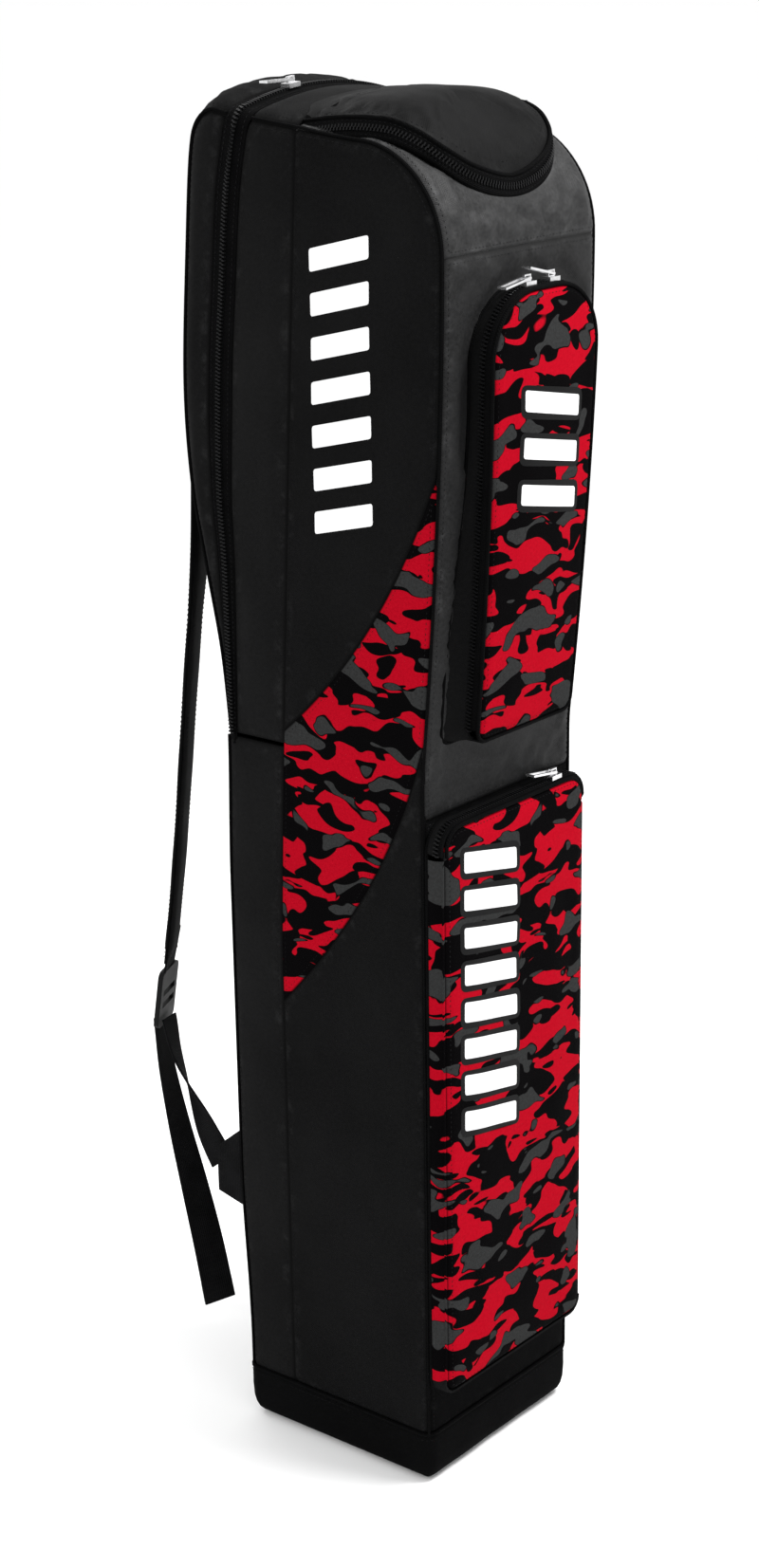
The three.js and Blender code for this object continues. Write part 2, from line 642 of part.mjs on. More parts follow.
function makeZips() {
  const lift = 0.6;
  const rearX = -30;
  const rearY = ZIP_LINE[ZIP_LINE.length - 1][0];
  const rearZ = topZ(rearY + SLIDER.wide / 2) + crownAt(rearX) + lift;
  const tilt = Math.asin(-rearX / CROWN_RADIUS);
  const downhill = [-Math.cos(tilt), 0, -Math.sin(tilt)];
  makeZip("rear_zip", [rearX, rearY, rearZ], downhill, [downhill[2], 0, -downhill[0]], 6);
  const lidY = -22;
  const lidZ = topZ(lidY) + LID.rise / 2;
  makeZip("lid_zip", [LID.half + lift, lidY, lidZ], [0, -1, 0], [1, 0, 0], 6);
  const p = UPPER_POCKET;
  const zipY = frontY(p.top) - p.proud * POCKET_SPLIT - 0.5;
  const cornerX = p.half - p.corner;
  makeZip("upper_pocket_zip_left", [-cornerX, zipY, p.top + lift], [-1, 0, 0], [0, 0, 1], -8);
  makeZip("upper_pocket_zip_right", [cornerX, zipY, p.top + lift], [-1, 0, 0], [0, 0, 1], 14);
  const q = LOWER_POCKET;
  const lowY = frontY(q.top) - q.proud * POCKET_SPLIT - 0.5;
  makeZip("lower_pocket_zip", [50, lowY, q.top + lift], [-1, 0, 0], [0, 0, 1], 8);
}

makeBase();
makeSides();
makeFront();
makeBack();
makeRearCompartment();
makeLid();
makePocket("upper_pocket", UPPER_POCKET);
makePocket("lower_pocket", LOWER_POCKET);
makeStrap("left", -1);
makeStrap("right", 1);
makeZips();

export default bag;
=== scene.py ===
"""Upright stick bag: the soft shell, pockets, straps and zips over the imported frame.

Lengths are in millimetres until a mesh is made. +Z is up, the pockets face -Y, left is -X.
"""

import math

import bmesh
import bpy
import numpy as np
from mathutils import Matrix, Vector
from mathutils.geometry import delaunay_2d_cdt


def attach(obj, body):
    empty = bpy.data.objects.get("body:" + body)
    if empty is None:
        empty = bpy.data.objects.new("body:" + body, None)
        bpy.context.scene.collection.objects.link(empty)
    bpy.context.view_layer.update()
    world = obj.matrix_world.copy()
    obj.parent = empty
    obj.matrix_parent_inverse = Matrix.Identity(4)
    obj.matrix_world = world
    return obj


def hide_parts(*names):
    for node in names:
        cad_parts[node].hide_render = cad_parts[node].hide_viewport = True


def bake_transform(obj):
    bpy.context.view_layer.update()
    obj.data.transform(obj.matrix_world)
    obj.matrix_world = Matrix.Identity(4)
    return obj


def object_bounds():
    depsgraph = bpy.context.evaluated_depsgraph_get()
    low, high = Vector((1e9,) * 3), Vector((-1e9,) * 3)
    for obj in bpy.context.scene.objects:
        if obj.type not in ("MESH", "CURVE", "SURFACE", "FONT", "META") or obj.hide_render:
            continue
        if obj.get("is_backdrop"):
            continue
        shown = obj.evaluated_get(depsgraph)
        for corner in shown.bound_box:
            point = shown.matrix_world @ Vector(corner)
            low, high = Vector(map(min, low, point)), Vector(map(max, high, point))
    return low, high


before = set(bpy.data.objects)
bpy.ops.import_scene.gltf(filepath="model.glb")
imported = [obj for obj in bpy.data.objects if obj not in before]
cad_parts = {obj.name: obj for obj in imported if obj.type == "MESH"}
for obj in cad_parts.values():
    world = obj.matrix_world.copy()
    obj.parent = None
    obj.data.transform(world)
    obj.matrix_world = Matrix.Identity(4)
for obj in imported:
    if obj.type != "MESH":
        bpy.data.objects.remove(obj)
CAD_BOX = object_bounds()
MM = 0.001
SIDES = ((-1, "left"), (1, "right"))

# ---- the bag's profile, as in the CAD model ------------------------------------------
SIDE = 85.0
BACK = 86.0
CAP_TOP = 40.0
WAIST = 540.0
YOKE_SEAM = 882.0
FRONT_SEAM = 508.0
ARC_Y = -37.0  # the centre and radius of the arc over the front
ARC_Z = 883.0
ARC_RADIUS = 72.0
LID_REAR = 11.0
CROWN_RISE = 13.0
CROWN_RADIUS = (SIDE**2 + CROWN_RISE**2) / (2 * CROWN_RISE)
LOWER_ARC = [(-88, 562), (-58, 452), (42, 347)]
UPPER_ARC = [(-104, 752), (-60, 630), (34.6, 550)]
ZIP_LINE = [(81.5, 541), (82.5, 657), (85, 712), (82.5, 788), (76.5, 854), (70, 916), (59.5, 966)]
SHELL_LINE = [(89, 544), (95, 600), (107, 661), (117, 715), (120, 785), (113, 880), (107, 938)]
SHELL_TOP = [(100, 959), (86, 968.5), (70, 966.4)]
DIVIDER_LINE = [(76, 545), (76, 700), (70, 800), (61, 880), (50, 955)]

BACK_RADIUS = 9.0
TOP_RADIUS = 10.0
SHELL_RADIUS = 12.0
CORNER = 1 - 1 / math.sqrt(2)  # where two rounded faces meet, as a share of the radius


def smooth(t):
    t = np.clip(t, 0.0, 1.0)
    return t * t * (3 - 2 * t)


def front_y(z):
    """The front face's y at a height."""
    z = np.asarray(z, float)
    t = np.clip((z - WAIST) / (ARC_Z - WAIST), 0, 1)
    return -BACK - 2 * np.minimum(z, WAIST) / WAIST - 21 * (1 - (1 - t) ** 1.7)


def back_y(z):
    """The back face leans out a little between the foot and the rear compartment."""
    z = np.asarray(z, float)
    return BACK + 5.5 * smooth((z - 60) / 150) * (1 - 0.45 * smooth((z - 430) / 110))


def top_z(y):
    """The top's height at a depth: an arc at the front, then a gentle slope."""
    y = np.asarray(y, float)
    arc = ARC_Z + np.sqrt(np.maximum(ARC_RADIUS**2 - (y - ARC_Y) ** 2, 0))
    return np.where(y >= ARC_Y, ARC_Z + ARC_RADIUS + (y - ARC_Y) * 0.107, arc)


def crown(x):
    """How far the top behind the lid arches up across the bag."""
    x = np.clip(x, -SIDE, SIDE)
    return np.sqrt(CROWN_RADIUS**2 - x**2) - (CROWN_RADIUS - CROWN_RISE)


def rear_seam_y(z):
    t = np.clip((np.asarray(z, float) - 388) / 562, 0, None)
    return 42 - 31 * t**1.15


def zip_half(z):
    """Half the rear zip band's width on the sides."""
    return 3.5 + 7 * np.clip((np.asarray(z, float) - WAIST) / 220, 0, 1)


def corner_radius(z):
    """The upright corners are crisp at the foot and softer at the top."""
    return 6 + 4 * smooth((np.asarray(z, float) - 560) / 240)


def rounding(distance, radius):
    """How far a face falls back, this far from the sharp edge it would have had."""
    gap = np.clip(radius - distance, 0, radius)
    return radius - np.sqrt(np.maximum(radius**2 - gap**2, 0))


# ---- curves --------------------------------------------------------------------------
def columns(*values):
    """Points from their coordinates, each a number or an array."""
    return np.stack(np.broadcast_arrays(*values), axis=-1)


def corner_arc(x, y, radius, quarter, count):
    """A quarter circle about (x, y), counted anticlockwise from the right."""
    a = (quarter + np.linspace(0, 1, count)) * math.pi / 2
    return columns(x + radius * np.cos(a), y + radius * np.sin(a))


def lengths(line):
    """The distance along a line to each of its points."""
    return np.concatenate([[0], np.cumsum(np.linalg.norm(np.diff(line, axis=0), axis=1))])


def even(line, count):
    """The same line with this many evenly spaced points."""
    s = lengths(line)
    at = np.linspace(0, s[-1], count)
    return columns(*(np.interp(at, s, values) for values in line.T))


def spline(points, count):
    """Evenly spaced points on a smooth curve through these points."""
    p = np.array(points, float)
    p = np.vstack([2 * p[0] - p[1], p, 2 * p[-1] - p[-2]])
    t = np.linspace(0, 1, 24, endpoint=False)[:, None]
    fine = []
    for a, b, c, d in zip(p, p[1:], p[2:], p[3:]):
        bend = (2 * a - 5 * b + 4 * c - d) * t**2 + (3 * b - a - 3 * c + d) * t**3
        fine.append(0.5 * (2 * b + (c - a) * t + bend))
    return even(np.vstack([*fine, p[-2]]), count)


def arc_points(curve, count):
    """Points on a quadratic curve given by its ends and its handle."""
    a, b, c = (np.array(p, float) for p in curve)
    t = np.linspace(0, 1, count)[:, None]
    return (1 - t) ** 2 * a + 2 * t * (1 - t) * b + t**2 * c


def unit(v):
    return v / np.maximum(np.linalg.norm(v, axis=-1, keepdims=True), 1e-9)


def tangents(line):
    return unit(np.gradient(line, axis=0))


def outward(line):
    """The directions to the right of a flat line."""
    t = tangents(line)
    return columns(t[:, 1], -t[:, 0])


def ripple(u, v, seed, wave):
    """Gentle folds between -1 and 1, about wave millimetres long."""
    rng = np.random.default_rng(seed)
    total = np.zeros(np.shape(u))
    for _ in range(7):
        angle = rng.uniform(0, math.pi)
        length = wave * rng.uniform(0.6, 1.9)
        phase = rng.uniform(0, 2 * math.pi)
        total += np.sin((u * math.cos(angle) + v * math.sin(angle)) * 2 * math.pi / length + phase)
    return total / 3.5


def front_arc(radius, count):
    """The arc over the front, from its foot to its top, as (y, z)."""
    a = np.linspace(math.pi, math.pi / 2, count)
    return columns(ARC_Y + radius * np.cos(a), ARC_Z + radius * np.sin(a))


def top_line(depth, fall=0.0):
    return columns(depth, top_z(depth) - fall)


def line_up(edge, z0, z1, count):
    heights = np.linspace(z0, z1, count)
    return columns(edge(heights), heights)


def both_edges(half, z0, z1, count):
    """A mirrored outline in (x, z), up its right edge and down its left one."""
    return np.vstack([line_up(half, z0, z1, count), line_up(lambda z: -half(z), z1, z0, count)])


# The silhouette from the foot of the front, over the top, to the rear zip, as (y, z).
SILHOUETTE = np.vstack([
    line_up(front_y, 20, ARC_Z, 40),
    front_arc(ARC_RADIUS, 40)[1:],
    top_line(np.linspace(ARC_Y, 70, 12)[1:]),
])
ZIP_CURVE = spline(ZIP_LINE, 160)
SHELL_CURVE = spline(SHELL_LINE + SHELL_TOP, 180)


def zip_y(z):
    return np.interp(z, ZIP_CURVE[:, 1], ZIP_CURVE[:, 0])


# ---- flat patches --------------------------------------------------------------------
def inside(points, loop):
    """Which points lie inside a closed outline."""
    x, y = points[:, 0][:, None], points[:, 1][:, None]
    a, b = loop, np.roll(loop, -1, axis=0)
    crosses = (a[:, 1] > y) != (b[:, 1] > y)
    rise = np.where(np.abs(b[:, 1] - a[:, 1]) < 1e-12, 1e-12, b[:, 1] - a[:, 1])
    at = a[:, 0] + (y - a[:, 1]) * (b[:, 0] - a[:, 0]) / rise
    return np.sum(crosses & (x < at), axis=1) % 2 == 1


def edge_distance(points, line, closed=True):
    """Each point's distance to a line of points."""
    a = line if closed else line[:-1]
    b = np.roll(line, -1, axis=0) if closed else line[1:]
    best = np.full(len(points), 1e9)
    for p, q in zip(a, b):
        d = q - p
        t = np.clip(((points - p) @ d) / max(d @ d, 1e-12), 0, 1)
        best = np.minimum(best, np.linalg.norm(points - p - t[:, None] * d, axis=1))
    return best


def resample(loop, step):
    """A closed outline with its corners kept and no gap longer than step."""
    out = []
    for a, b in zip(loop, np.roll(loop, -1, axis=0)):
        length = np.linalg.norm(b - a)
        n = math.ceil(length / step) if length >= 1e-6 else 0
        out.extend(a + (b - a) * k / n for k in range(n))
    return np.array(out)


def inset(loop, distance):
    """A closed outline moved inwards, without the points that come too near the outline."""
    d = np.roll(loop, -1, axis=0) - np.roll(loop, 1, axis=0)
    normal = unit(columns(-d[:, 1], d[:, 0]))
    area = np.sum(loop[:, 0] * np.roll(loop[:, 1], -1) - np.roll(loop[:, 0], -1) * loop[:, 1])
    moved = loop + normal * (distance if area > 0 else -distance)
    return moved[edge_distance(moved, loop) > 0.93 * distance]


def patch(loop, step, holes=(), rows=(1.3, 3.2)):
    """Points and triangles that fill an outline, and each point's distance to its edge."""
    borders = [resample(b, step) for b in (loop, *holes)]

    def filled(points):
        keep = inside(points, borders[0])
        for other in borders[1:]:
            keep &= ~inside(points, other)
        return keep

    points, edges = [], []
    for border in borders:
        first, n = len(points), len(border)
        points.extend(border)
        edges.extend((first + i, first + (i + 1) % n) for i in range(n))
    for distance in rows:
        ring = inset(borders[0], distance)
        for other in borders[1:]:
            ring = ring[edge_distance(ring, other) > 0.9 * distance]
        points.extend(ring)
    low, high = borders[0].min(axis=0), borders[0].max(axis=0)
    across = np.arange(low[0], high[0], step)
    grid = []
    for row, v in enumerate(np.arange(low[1], high[1], step * 0.866)):
        grid.append(columns(across + (row % 2) * step / 2, v))
    grid = np.vstack(grid)
    grid = grid[filled(grid)]
    near = np.min([edge_distance(grid, b) for b in borders], axis=0)
    points.extend(grid[near > (rows[-1] if rows else 0) + 0.55 * step])
    result = delaunay_2d_cdt([Vector(p) for p in points], edges, [], 0, 1e-5)
    uv = np.array([tuple(p) for p in result[0]])
    tris = np.array([f for f in result[2] if len(f) == 3])
    edge = np.min([edge_distance(uv, b) for b in borders], axis=0)
    return uv, tris[filled(uv[tris].mean(axis=1))], edge


# ---- meshes --------------------------------------------------------------------------
def place_object(name, data):
    obj = bpy.data.objects.new(name, data)
    bpy.context.scene.collection.objects.link(obj)
    return obj


def mesh_of(name, points, faces):
    mesh = bpy.data.meshes.new(name)
    mesh.from_pydata((np.asarray(points, float) * MM).tolist(), [], [list(map(int, f)) for f in faces])
    return mesh


def piece(name, points, faces, material, body, cloth=None, edge=None, slot=None, node=None, crease=48):
    """It stands for node, or for the CAD node of its own name. slot is not used."""
    mesh = mesh_of(name, points, faces)
    build = bmesh.new()
    build.from_mesh(mesh)
    bmesh.ops.recalc_face_normals(build, faces=build.faces)
    build.to_mesh(mesh)
    build.free()
    mesh.shade_smooth()
    mesh.set_sharp_from_angle(angle=math.radians(crease))
    flat = np.zeros((len(points), 3), np.float32)
    flat[:, :2] = np.asarray(points)[:, [0, 2]] if cloth is None else cloth
    far = np.full(len(points), 50.0) if edge is None else edge
    mesh.attributes.new("cloth", "FLOAT_VECTOR", "POINT").data.foreach_set("vector", flat.ravel())
    mesh.attributes.new("edge", "FLOAT", "POINT").data.foreach_set("value", np.asarray(far, np.float32))
    mesh.materials.append(material)
    obj = place_object(name, mesh)
    if body:
        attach(obj, body)
    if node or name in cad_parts:
        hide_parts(node or name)
    if slot or material.name in SLOTS:
        slot or SLOTS[material.name]
    return obj


def closed_sheet(outer, inner, tris):
    """Two matching sheets of triangles joined along their border."""
    n = len(outer)
    sides = np.vstack([tris[:, [0, 1]], tris[:, [1, 2]], tris[:, [2, 0]]])
    seen = set(map(tuple, sides.tolist()))
    rim = [(b, a, a + n, b + n) for a, b in sides.tolist() if (b, a) not in seen]
    faces = tris.tolist() + (tris[:, ::-1] + n).tolist() + rim
    return np.vstack([outer, inner]), faces


SETTLE_FRAMES = 20
COLLAR_REACH = 11.0  # how far the lid's collar covers the yoke round its mouth


def settled(points, faces, edge, normals, excess, push, cap):
    """How far a sheet's points move outwards (mm) when it settles as cloth held at its seams.

    excess is the spare cloth's share, push the pressure behind it, cap the most it moves."""
    sheet = place_object("settling", mesh_of("settling", points, faces))
    held = sheet.vertex_groups.new(name="held")
    for k, hold in enumerate(smooth((10 - edge) / 5)):
        held.add([k], float(hold), "REPLACE")
    cloth = sheet.modifiers.new("cloth", "CLOTH")
    cloth.settings.quality = 6
    cloth.settings.vertex_group_mass = held.name
    cloth.settings.shrink_min = -excess
    cloth.settings.use_pressure = True
    cloth.settings.uniform_pressure_force = push
    cloth.settings.effector_weights.gravity = 0.0
    cloth.point_cache.frame_start = 1
    cloth.point_cache.frame_end = SETTLE_FRAMES
    for frame_number in range(1, SETTLE_FRAMES + 1):
        bpy.context.scene.frame_set(frame_number)
    result = sheet.evaluated_get(bpy.context.evaluated_depsgraph_get())
    moved = np.array([tuple(v.co) for v in result.data.vertices]) / MM - points
    bpy.data.objects.remove(sheet)
    bpy.context.scene.frame_set(1)
    return cap * np.tanh(np.sum(moved * normals, axis=1) / cap)


def grid_piece(name, outer, inner, material, body, part=slice(None), closed=False, cloth=None, slot=None):
    """A slab between two lists of lines that run side by side, cut down to part of their points.

    closed joins the lines' ends; cloth gives the outer face's cloth coordinates."""
    outer, inner = (np.array(lines).transpose(1, 0, 2)[part] for lines in (outer, inner))
    rows, cols = outer.shape[:2]
    n = rows * cols
    at = lambda i, j: (i % rows) * cols + j
    faces = []
    for i in range(rows if closed else rows - 1):
        for j in range(cols - 1):
            quad = (at(i, j), at(i, j + 1), at(i + 1, j + 1), at(i + 1, j))
            faces.append(quad)
            faces.append(tuple(k + n for k in reversed(quad)))
        for j in (0, cols - 1):
            a, b = at(i, j), at(i + 1, j)
            faces.append((a, b, b + n, a + n))
    for i in () if closed else (0, rows - 1):
        for j in range(cols - 1):
            a, b = at(i, j), at(i, j + 1)
            faces.append((a, a + n, b + n, b))
    flat = cloth(outer) if cloth else grid_cloth(outer)
    points = np.vstack([outer.reshape(-1, 3), inner.reshape(-1, 3)])
    return piece(name, points, faces, material, body, np.vstack([flat, flat]), slot=slot)


def grid_cloth(grid):
    """Flat cloth coordinates for a grid: millimetres along its rows and columns."""
    steps = [np.linalg.norm(np.diff(grid, axis=k), axis=2).mean(axis=1 - k) for k in (0, 1)]
    v, u = (np.concatenate([[0], np.cumsum(step)]) for step in steps)
    return np.stack(np.meshgrid(u, v), axis=2).reshape(-1, 2)


def sections_along(line, shapes, across):
    """Cross sections along a line. shapes are points across and out, one for all or one for each point."""
    t = tangents(line)
    shapes = np.broadcast_to(shapes, (len(line), *np.shape(shapes)[-2:]))
    across = unit(across - np.sum(across * t, axis=1)[:, None] * t)
    out = np.cross(t, across)
    return line[:, None] + shapes[..., :1] * across[:, None] + shapes[..., 1:] * out[:, None]


def skin(rings, closed=False):
    """Points and faces of rings of points joined into a tube, with its ends filled."""
    count, n = rings.shape[:2]
    faces = []
    for i in range(count if closed else count - 1):
        j = (i + 1) % count
        for k in range(n):
            m = (k + 1) % n
            faces.append((i * n + k, i * n + m, j * n + m, j * n + k))
    if not closed:
        faces.append(tuple(range(n)))
        faces.append(tuple((count - 1) * n + k for k in reversed(range(n))))
    return rings.reshape(-1, 3), faces


def tube(name, line, radius, body, closed=False, sides=8, slot=None):
    """A round cord of tape cloth along a line, such as the piping in a seam."""
    line = np.asarray(line, float)
    across = np.cross(tangents(line)[0], [0.31, 0.52, 0.79])
    carried = []
    for d in tangents(line):
        across = unit(across - (across @ d) * d)
        carried.append(across)
    a = np.arange(sides) * 2 * math.pi / sides
    circle = columns(np.cos(a), np.sin(a)) * radius
    points, faces = skin(sections_along(line, circle, np.array(carried)), closed)
    return piece(name, points, faces, TAPE, body, slot=slot)


def swept(name, line, shapes, across, material, body):
    """A strap along a line; shapes and across are as in sections_along."""
    rings = sections_along(line, shapes, across)
    points, faces = skin(rings)
    flat = columns(np.asarray(shapes)[..., 0], lengths(line)[:, None])
    return piece(name, points, faces, material, body, flat.reshape(-1, 2))


# ---- stitches, zip teeth and sewn panels -----------------------------------------------
STITCHES = {}  # body -> lines of (points, outward directions)
SEWN = {}  # panel name -> (outline, surface, height)
BLOCK_QUADS = [(3, 2, 1, 0), (4, 5, 6, 7), (0, 1, 5, 4), (1, 2, 6, 5), (2, 3, 7, 6), (3, 0, 4, 7)]
TOOTH = np.array([(x * (1 - 0.2 * z) * 0.625, y * (1 - 0.2 * z) * 1.45, z * 1.5) for z in (0, 1)
                  for x, y in ((-1, -1), (1, -1), (1, 1), (-1, 1))])
TOOTH_PITCH = 2.6
DASH = np.array([(-1.2, 0, -0.15), (1.2, 0, -0.15), (0, 0.32, -0.1), (0, 0, 0.34), (0, -0.32, -0.1),
                 (0, 0, -0.3)])
DASH_PITCH = 3.6


def stitch(body, line, outs):
    STITCHES.setdefault(body, []).append((line, outs))


def spots_along(line, outs, pitch):
    """Evenly spaced points on a line, the directions along it and those out of its surface."""
    count = max(int(lengths(line)[-1] / pitch), 2)
    p = even(line, count)
    t = tangents(p)
    o = unit(even(outs, count))
    return p, t, unit(o - np.sum(o * t, axis=1)[:, None] * t)


def scattered(name, spots, shape, shape_faces, material, body, crease):
    """Copies of a small solid, its points given along, across and out, at these spots."""
    p, t, o = spots
    basis = np.stack([t, np.cross(o, t), o], axis=1)
    points = p[:, None] + shape @ basis
    faces = [tuple(k + len(shape) * n for k in face) for n in range(len(p)) for face in shape_faces]
    return piece(name, points.reshape(-1, 3), faces, material, body, crease=crease)


def zip_teeth(stem, line, outs, moving, ends=("body", "flap"), side=-1):
    """Both rows of a zip's teeth, the first on the bag and the second on the moving body."""
    for end, body, shift in ((ends[0], "bag", side), (ends[1], moving, -side)):
        p, t, o = spots_along(line, outs, TOOTH_PITCH)
        step = 0.25 * TOOTH_PITCH if shift > 0 else 0.0
        p = p + shift * 1.05 * np.cross(o, t) + step * t - 0.4 * o
        scattered("%s_%s" % (stem, end), (p, t, o), TOOTH, BLOCK_QUADS, TEETH, body, 20)


def make_stitches():
    sides = [(i, (i + 1) % 4) for i in range(4)]
    dash_faces = [face for i, j in sides for face in ((0, 2 + i, 2 + j), (1, 2 + j, 2 + i))]
    for body, lines in STITCHES.items():
        runs = [spots_along(line, outs, DASH_PITCH) for line, outs in lines]
        spots = [np.vstack([run[k][1:-1] for run in runs]) for k in range(3)]
        scattered("stitches_" + body, spots, DASH, dash_faces, THREAD, body, 80)


def on_surface(surface, uv, out):
    """Points on a surface and the directions out of it."""
    here = surface(uv, out)
    return here, unit(surface(uv, out + 1.0) - here)


def sewn(name, loop, surface, height, material, body="bag", holes=(), step=4.5, back=3.0, thin=1.2,
         stitched=3.6, settle=None, **settings):
    """A sewn panel with stitches inside its seams.

    surface(uv, out) places it and height(uv, edge) is how far it stands out. settle is (spare cloth,
    pressure, most movement in mm) for a panel that settles as cloth, held round its holes."""
    SEWN[name] = (loop, surface, height)
    uv, tris, edge = patch(loop, step, holes)
    out = height(uv, edge)
    outer = surface(uv, out)
    if settle:
        hold = np.min([edge] + [edge_distance(uv, hole) - COLLAR_REACH for hole in holes], axis=0)
        out = out + settled(outer, tris, hold, unit(surface(uv, out + 1) - outer), *settle)
        outer = surface(uv, out)
    points, faces = closed_sheet(outer, surface(uv, np.minimum(-back, out - thin)), tris)
    both = np.vstack([uv, uv])
    piece(name, points, faces, material, body, both, np.concatenate([edge, edge]), **settings)
    ring = inset(resample(loop, 4.0), stitched)
    ring = np.vstack([ring, ring[:1]])
    here, out = on_surface(surface, ring, height(ring, np.full(len(ring), stitched)))
    gaps = np.linalg.norm(np.diff(here, axis=0), axis=1)
    cuts = [0, *(np.nonzero(gaps > 14)[0] + 1).tolist(), len(here)]
    for a, b in zip(cuts, cuts[1:]):
        if b - a > 3:
            stitch(body, here[a:b], out[a:b])


# ---- camera, lights and floor ----------------------------------------------------------
def make_camera():
    """The photograph's view: from the front left, a little above."""
    azimuth, elevation, roll = (math.radians(a) for a in (-50.76, 18.10, -1.018))
    flat = math.cos(elevation)
    back = Vector((math.sin(azimuth) * flat, -math.cos(azimuth) * flat, math.sin(elevation)))
    right = (-back).cross(Vector((0, 0, 1))).normalized()
    up = right.cross(-back)
    x = right * math.cos(roll) + up * math.sin(roll)
    y = up * math.cos(roll) - right * math.sin(roll)
    data = bpy.data.cameras.new("camera")
    data.lens = 64.17
    data.sensor_width = 36
    data.clip_end = 300
    camera = place_object("camera", data)
    turn = Matrix((x, y, back)).transposed().to_4x4()
    camera.matrix_world = Matrix.Translation((-1.4713, -1.1828, 1.1130)) @ turn
    bpy.context.scene.camera = camera


def make_light(name, place, target, size, power):
    data = bpy.data.lights.new(name, "AREA")
    data.shape = "DISK"
    data.size = size
    data.energy = power
    light = place_object(name, data)
    light.location = place
    light.rotation_euler = (Vector(target) - Vector(place)).to_track_quat("-Z", "Y").to_euler()


def make_studio():
    make_light("key", (0.45, -0.85, 2.15), (0, -0.03, 0.75), 0.7, 40)
    make_light("fill", (-2.4, 0.4, 1.9), (0, 0, 0.5), 1.8, 14)
    make_light("rim", (0.4, 2.3, 2.2), (0, 0, 0.6), 1.5, 20)
    world = bpy.data.worlds.new("studio")
    world.use_nodes = True
    world.node_tree.nodes["Background"].inputs[0].default_value = (1, 1, 1, 1)
    world.node_tree.nodes["Background"].inputs[1].default_value = 1.03
    bpy.context.scene.world = world
    bpy.context.scene.view_settings.view_transform = "Standard"
    graph = Graph("floor")
    graph.finish((0.975, 0.975, 0.975, 1), 0.9)
    reach = 60000
    corners = [(-reach, -reach), (reach, -reach), (reach, reach), (-reach, reach)]
    mesh = mesh_of("floor", [(x, y, -0.5) for x, y in corners], [(0, 1, 2, 3)])
    mesh.materials.append(graph.material)
    place_object("floor", mesh)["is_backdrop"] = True


# ---- materials -------------------------------------------------------------------------
def tint(colour, share, lift=0.0):
    """A colour made darker or paler."""
    return tuple(share * c + lift for c in colour) + (1,)


class Graph:
    """A material's nodes, built by calls that return sockets."""

    def __init__(self, name):
        self.material = bpy.data.materials.new(name)
        self.material.use_nodes = True
        self.tree = self.material.node_tree
        self.tree.nodes.clear()

    def add(self, kind, inputs=None, **settings):
        node = self.tree.nodes.new(kind)
        for key, value in settings.items():
            setattr(node, key, value)
        for key, value in (inputs or {}).items():
            self.put(node.inputs[key], value)
        return node

    def put(self, socket, value):
        if isinstance(value, bpy.types.NodeSocket):
            self.tree.links.new(value, socket)
        else:
            socket.default_value = value

    def math(self, operation, a, b=0.0, clamp=False):
        return self.add("ShaderNodeMath", {0: a, 1: b}, operation=operation, use_clamp=clamp).outputs[0]

    def times(self, a, b):
        return self.math("MULTIPLY", a, b)

    def vector(self, operation, a, b):
        return self.add("ShaderNodeVectorMath", {0: a, 1: b}, operation=operation).outputs[0]

    def mix(self, factor, a, b):
        return self.add("ShaderNodeMix", {0: factor, 6: a, 7: b}, data_type="RGBA").outputs[2]

    def ramp(self, value, low, high):
        """value taken from low..high to 0..1, clamped."""
        return self.add("ShaderNodeMapRange", {0: value, 1: low, 2: high, 3: 0.0, 4: 1.0}).outputs[0]

    def noise(self, vector, scale, detail=2.0, roughness=0.5, distortion=0.0, output="Fac"):
        inputs = {"Vector": vector, "Scale": scale, "Detail": detail}
        inputs.update(Roughness=roughness, Distortion=distortion)
        return self.add("ShaderNodeTexNoise", inputs).outputs[output]

    def cloth(self, scale=None):
        """Millimetres along the cloth, fixed to the mesh."""
        flat = self.add("ShaderNodeAttribute", attribute_name="cloth").outputs["Vector"]
        return self.vector("MULTIPLY", flat, scale) if scale else flat

    def edge(self):
        return self.add("ShaderNodeAttribute", attribute_name="edge").outputs["Fac"]

    def place(self):
        return self.add("ShaderNodeTexCoord").outputs["Object"]

    def waves(self, *pitches):
        """Sine waves across and along the cloth."""
        parts = self.add("ShaderNodeSeparateXYZ", {0: self.cloth()}).outputs
        turns = [2 * math.pi / pitch for pitch in pitches]
        return [self.math("SINE", self.times(part, turn)) for part, turn in zip(parts, turns)]

    def bump(self, height, strength, distance, normal=None):
        inputs = {"Height": height, "Strength": strength, "Distance": distance}
        if normal is not None:
            inputs["Normal"] = normal
        return self.add("ShaderNodeBump", inputs).outputs[0]

    def finish(self, colour, roughness, normal=None, **values):
        surface = self.add("ShaderNodeBsdfPrincipled", {"Base Color": colour, "Roughness": roughness})
        if normal is not None:
            self.put(surface.inputs["Normal"], normal)
        for key, value in values.items():
            self.put(surface.inputs[key.replace("_", " ")], value)
        output = self.add("ShaderNodeOutputMaterial")
        self.tree.links.new(surface.outputs[0], output.inputs[0])
        return self.material


def woven(graph, pitch):
    """The height of a plain weave with threads pitch millimetres apart."""
    over = graph.times(*graph.waves(2 * pitch, 2 * pitch))
    slub = graph.noise(graph.cloth((0.9, 0.9, 0.9)), 1.0, 1.0)
    return graph.math("ADD", graph.times(over, 0.5), slub)


def fabric_bump(graph, pitch, crease):
    """Soft creases a few centimetres long, then the weave."""
    normal = graph.bump(graph.noise(graph.place(), 26.0, 3.0, 0.55, 0.4), crease, 0.003)
    return graph.bump(woven(graph, pitch), 0.32, 0.0004, normal)


